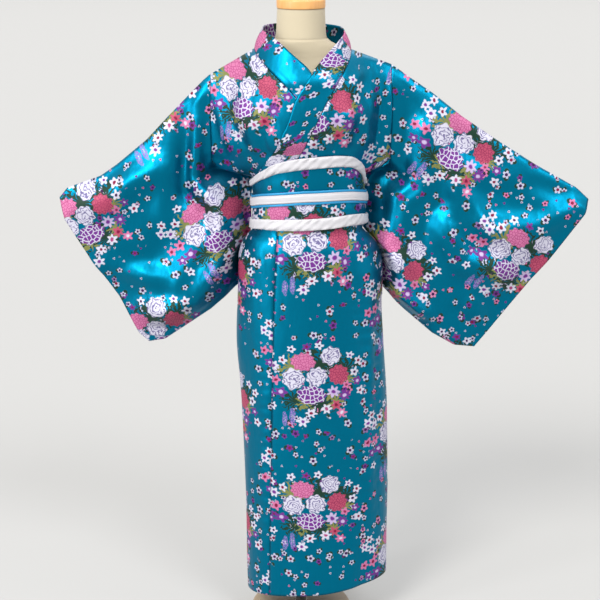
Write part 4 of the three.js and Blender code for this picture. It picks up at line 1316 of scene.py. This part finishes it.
SLEEVE_CREASES = {
    "left": [
        ([(0.3, 0.2), (0.62, 0.15), (0.96, 0.1)], 26, 11),
        ([(0.3, 0.4), (0.62, 0.58), (1.0, 0.5)], 36, 25),
        ([(0.46, 0.36), (0.74, 0.4), (1.0, 0.32)], 28, 11),
        ([(0.06, 0.7), (0.28, 0.92), (0.56, 0.98)], 30, 19),
        ([(0.16, 0.04), (0.22, 0.4), (0.26, 0.76)], 15, 9),
        ([(0.28, 0.1), (0.34, 0.42), (0.4, 0.74)], 20, -7),
        ([(0.08, 0.3), (0.1, 0.5), (0.14, 0.7)], 12, -6),
        ([(0.62, 0.8), (0.78, 0.86), (0.94, 0.86)], 18, -6),
    ],
    "right": [
        ([(0.26, 0.2), (0.6, 0.15), (0.98, 0.17)], 30, 16),
        ([(1.0, 0.74), (0.66, 0.86), (0.14, 0.78)], 38, 25),
        ([(0.98, 0.46), (0.7, 0.54), (0.38, 0.46)], 34, -10),
        ([(0.16, 0.1), (0.24, 0.4), (0.36, 0.66)], 20, -12),
        ([(0.1, 0.52), (0.18, 0.68), (0.3, 0.9)], 20, 8),
        ([(0.2, 0.06), (0.42, 0.34), (0.58, 0.62)], 24, 7),
        ([(0.6, 0.97), (0.76, 0.93), (0.94, 0.88)], 12, -5),
    ],
}
BOUQUET_ON_SLEEVE = {"left": (367, 1157, -1), "right": (-199, 978, 1)}
PRINT_TURN = np.radians(30)
DEEPEST = 26
MOUTH_OPEN = 0.52
MOUTH_HALF = 16
SEWN_HALF = 0.6
FURI_HALF = 9
SWING = 47
TUCK = 14
TUCK_LOWEST = 1030
SLEEVE_COLUMNS = 96
ROUTE_STEPS = 80
print("sleeve folds:", {side: len(SLEEVES[side]["folds"] + SLEEVE_CREASES[side]) for side in SLEEVES})

# %% [markdown]
# ## Sleeve shape
# A place on a sleeve is given by two shares, outwards from the armhole and down from the fold.
# The four drawn edges are blended over the sleeve, as a film of soap fills a bent wire.
# Folds are drawn in the same shares, so that they stay in place if an edge is moved.


# %% Sleeve outline
def along(points, share):
    """Places along a line of straight stretches by their share of its whole length."""
    line = np.asarray(points, float)
    lengths = np.concatenate([[0], np.cumsum(np.hypot(*np.diff(line, axis=0).T))])
    rest = clamp(share) * lengths[-1]
    return np.stack([np.interp(rest, lengths, line[:, k]) for k in (0, 1)], axis=-1)


def sleeve_place(shape, s, t):
    """The front view of the sleeve at shares s outwards and t down.

    The top and bottom lines blend by t, the inner and mouth lines by s.
    The blend of the corners comes off, because both blends count them.
    """
    s, t = np.broadcast_arrays(np.asarray(s, float), np.asarray(t, float))
    s1, t1 = s[..., None], t[..., None]
    top, bottom = along(shape["top"], s), along(shape["bottom"], s)
    inner, mouth = along(shape["inner"], t), along(shape["mouth"], t)
    upper = lerp(np.array(shape["top"][0], float), np.array(shape["mouth"][0], float), s1)
    lower = lerp(np.array(shape["bottom"][0], float), np.array(shape["mouth"][-1], float), s1)
    return lerp(top, bottom, t1) + lerp(inner, mouth, s1) - lerp(upper, lower, t1)


def below_armhole(shape, t):
    """How far down the open inner edge a share lies: nought at the armhole, one at the corner."""
    lowest = shape["inner"][-1][1]
    return (ARMHOLE_BOTTOM_Z - along(shape["inner"], t)[..., 1]) / (ARMHOLE_BOTTOM_Z - lowest)


print("middle of the left sleeve:", sleeve_place(SLEEVES["left"], 0.5, 0.5).round(1))


# %% Sleeve depth
def sleeve_half(side, shape, s, t):
    """Half depth of the sleeve: open at the armhole, full in the middle, part sewn at the mouth."""
    z = along(shape["inner"], t)[..., 1]
    loose = SEWN_HALF + FURI_HALF * np.sqrt(np.sin(np.pi * clamp(below_armhole(shape, t))))
    opening = np.maximum(armhole_half(side == "left", z), np.where(t > 0, SEWN_HALF, 0))
    armhole = np.where(z > ARMHOLE_BOTTOM_Z, opening, loose)
    middle = DEEPEST * (4 * t * (1 - t)) ** 0.45
    gape = np.sin(np.pi * clamp(t / MOUTH_OPEN)) ** 0.8
    mouth = SEWN_HALF + MOUTH_HALF * np.maximum(gape, 0)
    half = lerp(lerp(armhole, middle, ease(s / 0.3)), mouth, ease((s - 0.75) / 0.25))
    return np.where((t <= 0) | (t >= 1), 0, half)


def beside_waist(shape, s, t):
    """How much a place lies beside the waist, where the inner edge swings back behind the body."""
    below = below_armhole(shape, t)
    down = ease(below / 0.1) * (1 - 0.45 * ease((below - 0.75) / 0.25))
    return down * (1 - ease(s / 0.17))


def sleeve_drape(shape, folds, s, t, soft_ends):
    """How far folds, drawn as shares of the sleeve, carry its cloth towards the viewer."""
    place = sleeve_place(shape, s, t)
    total = np.zeros(place.shape[:-1])
    for path, width, height in folds:
        route = sleeve_place(shape, *along(path, np.linspace(0, 1, ROUTE_STEPS + 1)).T)
        away = np.linalg.norm(place[..., None, :] - route, axis=-1)
        share = away.argmin(axis=-1) / ROUTE_STEPS
        taper = ease(share / 0.25) * 0.5 + ease((1 - share) / 0.25) * 0.5
        if soft_ends:
            taper = ease(share / 0.3) * ease((1 - share) / 0.3)
        total += height * taper * bell(away.min(axis=-1), width)
    return total * ease(s / 0.15) * ease(t / 0.06) * ease((1 - t) / 0.06)


def sleeve_layer(side, face, s, t):
    """One layer of the sleeve: its front view place, and its depth from half depth, folds and swing."""
    shape = SLEEVES[side]
    place = sleeve_place(shape, s, t)
    beside = beside_waist(shape, s, t)
    drape = sleeve_drape(shape, shape["folds"], s, t, soft_ends=False)
    fine = sleeve_drape(shape, SLEEVE_CREASES[side], s, t, soft_ends=True)
    middle = SWING * beside - drape - fine
    x, z = place[..., 0], place[..., 1]
    tucked = beside * ease((z - TUCK_LOWEST) / 50) if face == BACK else 0
    x = x - TUCK * tucked * np.sign(x)
    return np.stack([x, middle + face * sleeve_half(side, shape, s, t), z], axis=-1)


print("half depth there:", sleeve_half("left", SLEEVES["left"], 0.5, np.array(0.5)).round(1))


# %% Sleeve pieces
def sleeve_shares(shape):
    """Shares down the sleeve, closer together at the top fold and at the lower edge."""
    lengths = np.hypot(*np.diff(np.array(shape["inner"], float), axis=0).T)
    armhole = lengths[0] / lengths.sum()
    down, turn = np.linspace(0, 1, 46), np.linspace(0, 1, 60)[1:]
    upper = armhole * (0.6 * (1 - np.cos(np.pi / 2 * down)) + 0.4 * down)
    return np.concatenate([upper, lerp(armhole, 1, lerp(turn, np.sin(np.pi / 2 * turn), 0.6))])


def sleeve_piece(side):
    """The sleeve as a ring of cloth: down the front layer and up the back one."""
    t = sleeve_shares(SLEEVES[side])
    s = np.linspace(0, 1, SLEEVE_COLUMNS)[:, None]
    front = sleeve_layer(side, FRONT, s, t[None, :])
    back = sleeve_layer(side, BACK, s, t[None, 1:-1])[:, ::-1]
    points = np.concatenate([front, back], axis=1)
    x0, z0, turn_way = BOUQUET_ON_SLEEVE[side]
    angle = turn_way * PRINT_TURN
    dx, dz = points[..., 0] - x0, points[..., 2] - z0
    u = dx * np.cos(angle) + dz * np.sin(angle)
    v = dz * np.cos(angle) - dx * np.sin(angle)
    return points, np.stack([u, v], axis=-1) + PRINT_MIDDLE


for side in ("left", "right"):
    points, flat = sleeve_piece(side)
    middle = points.mean(axis=1, keepdims=True) * np.array([0, 1, 0]) + points * np.array([1, 0, 1])
    cloth(f"sleeve_{side}", points, flat, middle, ring=True)
print("sleeve grid:", points.shape[:2])

# %% [markdown]
# ## The obi
# The obi is a stiff band round the waist with a soft white roll along each edge.
# A flat corded strip, bordered by two pipings, ties it down the middle.
# The rolls wrinkle on a slant because they are twisted a little as they are tied.

# %% Obi formulas
OBI_INSIDE = 8.2
BAND_THICK = 1.6
BAND_UNDER_ROLL = 3
OBI_BOUQUET = np.array([-168, -232])
ROLL_INSIDE = 7.6
ROLL_THICK = 8.0
CORD_INSIDE = 11.0
CORD_THICK = 4.0
CORD_HALF = 10.0
PIPING_THICK = 3.0
PIPING_HIGH = 5.5
GAP = 0.35
AROUND = 360


def obi_point(angle, z, lift):
    """A point round the waist on the snug oval, moved out square to it by a lift. Angles are in degrees."""
    angle, z, lift = np.broadcast_arrays(*[np.asarray(value, float) for value in (angle, z, lift)])
    sine, cosine = np.sin(np.radians(angle)), np.cos(np.radians(angle))
    depth = np.where(cosine > 0, SNUG["front"](z), SNUG["back"](z))
    half = SNUG["half"](z)
    way = np.stack([sine / half, -cosine / depth], axis=-1)
    way = way / np.linalg.norm(way, axis=-1, keepdims=True)
    x = SNUG["centre"](z) + half * sine + way[..., 0] * lift
    return np.stack([x, -depth * cosine + way[..., 1] * lift, z], axis=-1)


def obi_band():
    """The flat band between the two rolls, pressed in a little under the cord."""
    angle = np.linspace(-180, 180, AROUND, endpoint=False)[None, :]
    share = np.linspace(0, 1, 26)[:, None]
    low = OBI_EDGE["bottom"](angle) + ROLL["bottom"](angle) - BAND_UNDER_ROLL
    high = OBI_EDGE["top"](angle) - ROLL["top"](angle) + BAND_UNDER_ROLL
    z = lerp(low, high, share)
    cord = OBI_EDGE["cord"](angle)
    swell = 1.6 * bell(z - cord - 34, 15) + 1.4 * bell(z - cord + 32, 14)
    bend = 0.7 * np.sin(np.radians(angle) * 5 + z / 40) * bell(z - cord - 28, 22)
    points = obi_point(angle, z, OBI_INSIDE + np.maximum(swell + bend - 0.6, -0.4))
    lengths = arc_lengths(points, axis=1)
    front = AROUND // 2
    flat = np.stack([lengths - lengths[:, front : front + 1], z - cord], axis=-1)
    return points, flat - OBI_BOUQUET


print("obi height in front:", OBI_EDGE["top"](0.0) - OBI_EDGE["bottom"](0.0), "mm")


# %% Strips
def obi_strip(low, high, inside, thick, swell, columns):
    """A soft strip round the obi: a flattened ring of points at each angle, swollen by a function of both."""
    angle = np.linspace(-180, 180, AROUND, endpoint=False)[:, None]
    turn = np.linspace(0, 2 * np.pi, columns, endpoint=False)[None, :]
    out = np.sign(np.cos(turn)) * np.abs(np.cos(turn)) ** 0.8
    up = np.sign(np.sin(turn)) * np.abs(np.sin(turn)) ** 0.75
    share = (up + 1) / 2
    z = lerp(low(angle), high(angle), share)
    lift = inside + thick * (out + 1) / 2 + swell(angle, share) * clamp(out + 0.4)
    return obi_point(angle, z, lift)


def twisted(angle, share):
    """Slanting wrinkles: rounded ridges with sharp valleys, which climb as they run round the obi."""
    a = np.radians(angle)
    first = np.abs(np.sin(15 * a - 4.6 * share + 0.8 * np.sin(5 * a)))
    second = np.abs(np.sin(23 * a - 6.2 * share + 1.3))
    strength = 0.6 + 0.4 * np.sin(3 * a + 0.8) * np.cos(5 * a)
    lengthwise = 0.7 * np.sin(2 * np.pi * share * 1.3 + 1.6 * np.sin(4 * a))
    return (3.2 * first + 1.9 * second - 3.0) * strength + lengthwise


def corded(angle, share):
    """Fine ribs along the strip, the last one cut at half its width."""
    return 1.9 * np.abs(np.sin(3.5 * np.pi * share)) ** 0.6 + 0 * angle


def plain_round(angle, share):
    """No swelling."""
    return 0 * angle * share


def strip(name, low, high, inside, thick, swell, finish):
    """A closed ring of cloth tube between two lines round the obi."""
    points = obi_strip(low, high, inside, thick, swell, columns=32 if swell == corded else 20)
    rows, columns = points.shape[:2]
    faces = grid_faces(rows, columns, ring=True, closed=True)
    made = mesh_object(name, points.reshape(-1, 3), faces.tolist(), finish)
    turn_outward(made, np.repeat(points.mean(axis=1), columns, axis=0)[faces[:, 0]])
    piece[name] = (made, finish)


print("points round the obi:", AROUND)

# %% [markdown]
# ## Band, rolls, cord and pipings
# The band is sheet like the rest of the cloth, and the five strips are soft tubes pressed flat.
# Each strip lies between two lines round the waist, which a table names with their shifts.


# %% Obi pieces
def line(edge, shift=0, roll=0):
    """A height at each angle round the obi: a named line, shifted in mm and by a share of the roll."""
    if roll:
        return lambda angle: OBI_EDGE[edge](angle) + shift + roll * ROLL[edge](angle)
    return lambda angle: OBI_EDGE[edge](angle) + shift


FAR = CORD_HALF + GAP
cord_place = (CORD_INSIDE, CORD_THICK, corded, "white_satin")
roll_place = (ROLL_INSIDE, ROLL_THICK, twisted, "white_satin")
piping_place = (CORD_INSIDE, PIPING_THICK, plain_round, "pale_blue_satin")
STRIPS = {
    "obi_top_edge": (line("top", roll=-1), line("top"), *roll_place),
    "obi_bottom_edge": (line("bottom"), line("bottom", roll=1), *roll_place),
    "obi_cord": (line("cord", -CORD_HALF), line("cord", CORD_HALF), *cord_place),
    "obi_piping_upper": (line("cord", FAR), line("cord", FAR + PIPING_HIGH), *piping_place),
    "obi_piping_lower": (line("cord", -FAR - PIPING_HIGH), line("cord", -FAR), *piping_place),
}
points, flat = obi_band()
cloth("obi_band", points, flat, on_axis(points), ring=True, thick=BAND_THICK)
for name, settings in STRIPS.items():
    strip(name, *settings)
print("obi pieces:", len(STRIPS) + 1)

# %% [markdown]
# ## The dress form
# The form is a padded torso under jersey, ending in a short neck with a turned wooden cap.
# A seam rings the base of its neck, where the separate neck cover is sewn on.
# It stands on a steel pole in a round enamelled base.

# %% Dress form
REST_GAP = 0.45


def under_fold(z):
    """Half width of the form's shoulder where the steeper side of the cloth rests on it."""
    return SHOULDER_LEVEL_X + (SHOULDER_Z - REST_GAP - z) / SHOULDER_SLOPE["right"]


FORM_ROWS = table(
    "z centre half front back pinch",
    [
        (688, 14, 116, 84, 86, 1), (693, 14, 130, 94, 96, 1), (705, 14, 136, 98, 100, 1),
        (800, 18, 148, 97, 110, 1), (880, 18, 138, 92, 100, 1), (960, 16, 110, 82, 80, 1),
        (1030, 16, 107, 80, 77, 1), (1080, 14, 108, 82, 78, 1), (1120, 12, 114, 86, 82, 1),
        (1150, 10, 120, 92, 86, 1), (1200, 8, 130, 98, 91, 1), (1250, 3, 150, 94, 86, 1),
        (1285, 0, 176, 80, 76, 1.3), (1300, 0, 182, 76, 70, 1.5), (1325, 0, 172, 66, 60, 1.8),
        (1346, 0, under_fold(1346), 58, 54, 2), (1364, 0, under_fold(1364), 55, 52, 2),
        (1371, 0, under_fold(1371), 55, 52, 1.8), (1381, 0, under_fold(1381) - 3, 56, 54, 1.55),
        (1390, 0, 79, 57, 57, 1.2), (1400, 0, 63, 58, 58, 1.02), (1410, 0, 57, 57, 57, 1),
        (1440, 0, 55, 55, 55, 1), (1470, 0, 54, 54, 54, 1),
    ],
)
NECK_SEAM_Z = 1404
NECK_SEAM = {"deep": 1.6, "width": 1.7}
ROUND_STEPS = 96
FORM_TOP = 1470


def capped(name, rings, finish):
    """A closed solid of rings, its ends closed by one flat face each."""
    rows, columns = rings.shape[:2]
    ends = [list(range(columns)), list(range((rows - 1) * columns, rows * columns))[::-1]]
    faces = grid_faces(rows, columns, ring=True).tolist() + ends
    made = mesh_object(name, rings.reshape(-1, 3), faces, finish, flat_faces=len(ends))
    turn_outward(made, rings.mean(axis=(0, 1)))
    piece[name] = (made, finish)


def form_torso():
    """The torso's level sections: half width times the sine, depth times a power of the cosine."""
    heights = [np.linspace(688, 720, 9), np.arange(728, 1284, 8), np.arange(1286, FORM_TOP + 0.1, 2.0)]
    z = np.concatenate(heights)[:, None]
    angle = np.linspace(0, 2 * np.pi, ROUND_STEPS, endpoint=False)[None, :]
    cosine = np.cos(angle)
    depth = np.where(cosine > 0, FORM_ROWS["front"](z), FORM_ROWS["back"](z))
    y = -np.sign(cosine) * depth * np.abs(cosine) ** FORM_ROWS["pinch"](z)
    x = FORM_ROWS["centre"](z) + FORM_ROWS["half"](z) * np.sin(angle)
    draw_in = 1 - NECK_SEAM["deep"] / 58 * bell(z - NECK_SEAM_Z, NECK_SEAM["width"])
    return np.stack([x * draw_in, y * draw_in, z + 0 * angle], axis=-1)


capped("form_torso", form_torso(), "form_jersey")
print("torso and neck, up to", FORM_TOP, "mm")


# %% Turned pieces
def turned(profile):
    """A turned solid from radii and heights, bottom first."""
    radii, heights = np.array(profile, float).T
    angle = np.linspace(0, 2 * np.pi, ROUND_STEPS, endpoint=False)[None, :]
    r, z = radii[:, None], heights[:, None] + 0 * angle
    return np.stack([r * np.sin(angle), r * np.cos(angle), z], axis=-1)


cap_profile = [
    (52.5, 1470.4), (53.6, 1470.6), (54.6, 1471.4), (55, 1473), (55, 1487), (54.6, 1488.6), (53.4, 1490),
    (51, 1491), (44, 1492.4), (33, 1493.8), (20, 1494.7), (8, 1495), (1, 1495),
]
base_profile = [
    (124, 0), (125, 1), (125, 3.4), (124, 4.6), (118.5, 16), (117, 18), (114, 19.6), (60, 20), (16, 20),
]
TURNINGS = {
    "form_cap": (cap_profile, "cap_wood"),
    "form_pole": ([(15, 20.3), (15, 400), (15, 687.7)], "pole_steel"),
    "form_base": (base_profile, "base_enamel"),
}
for name, (profile, finish) in TURNINGS.items():
    capped(name, turned(profile), finish)
print("turned pieces:", ", ".join(TURNINGS))

# %% [markdown]
# ## What each piece is
# Each piece rides on the one body of the part and stands for the solid of the same name.

# %% Declarations
for name, (made, finish) in piece.items():
    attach(made, "root")
    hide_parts(name)
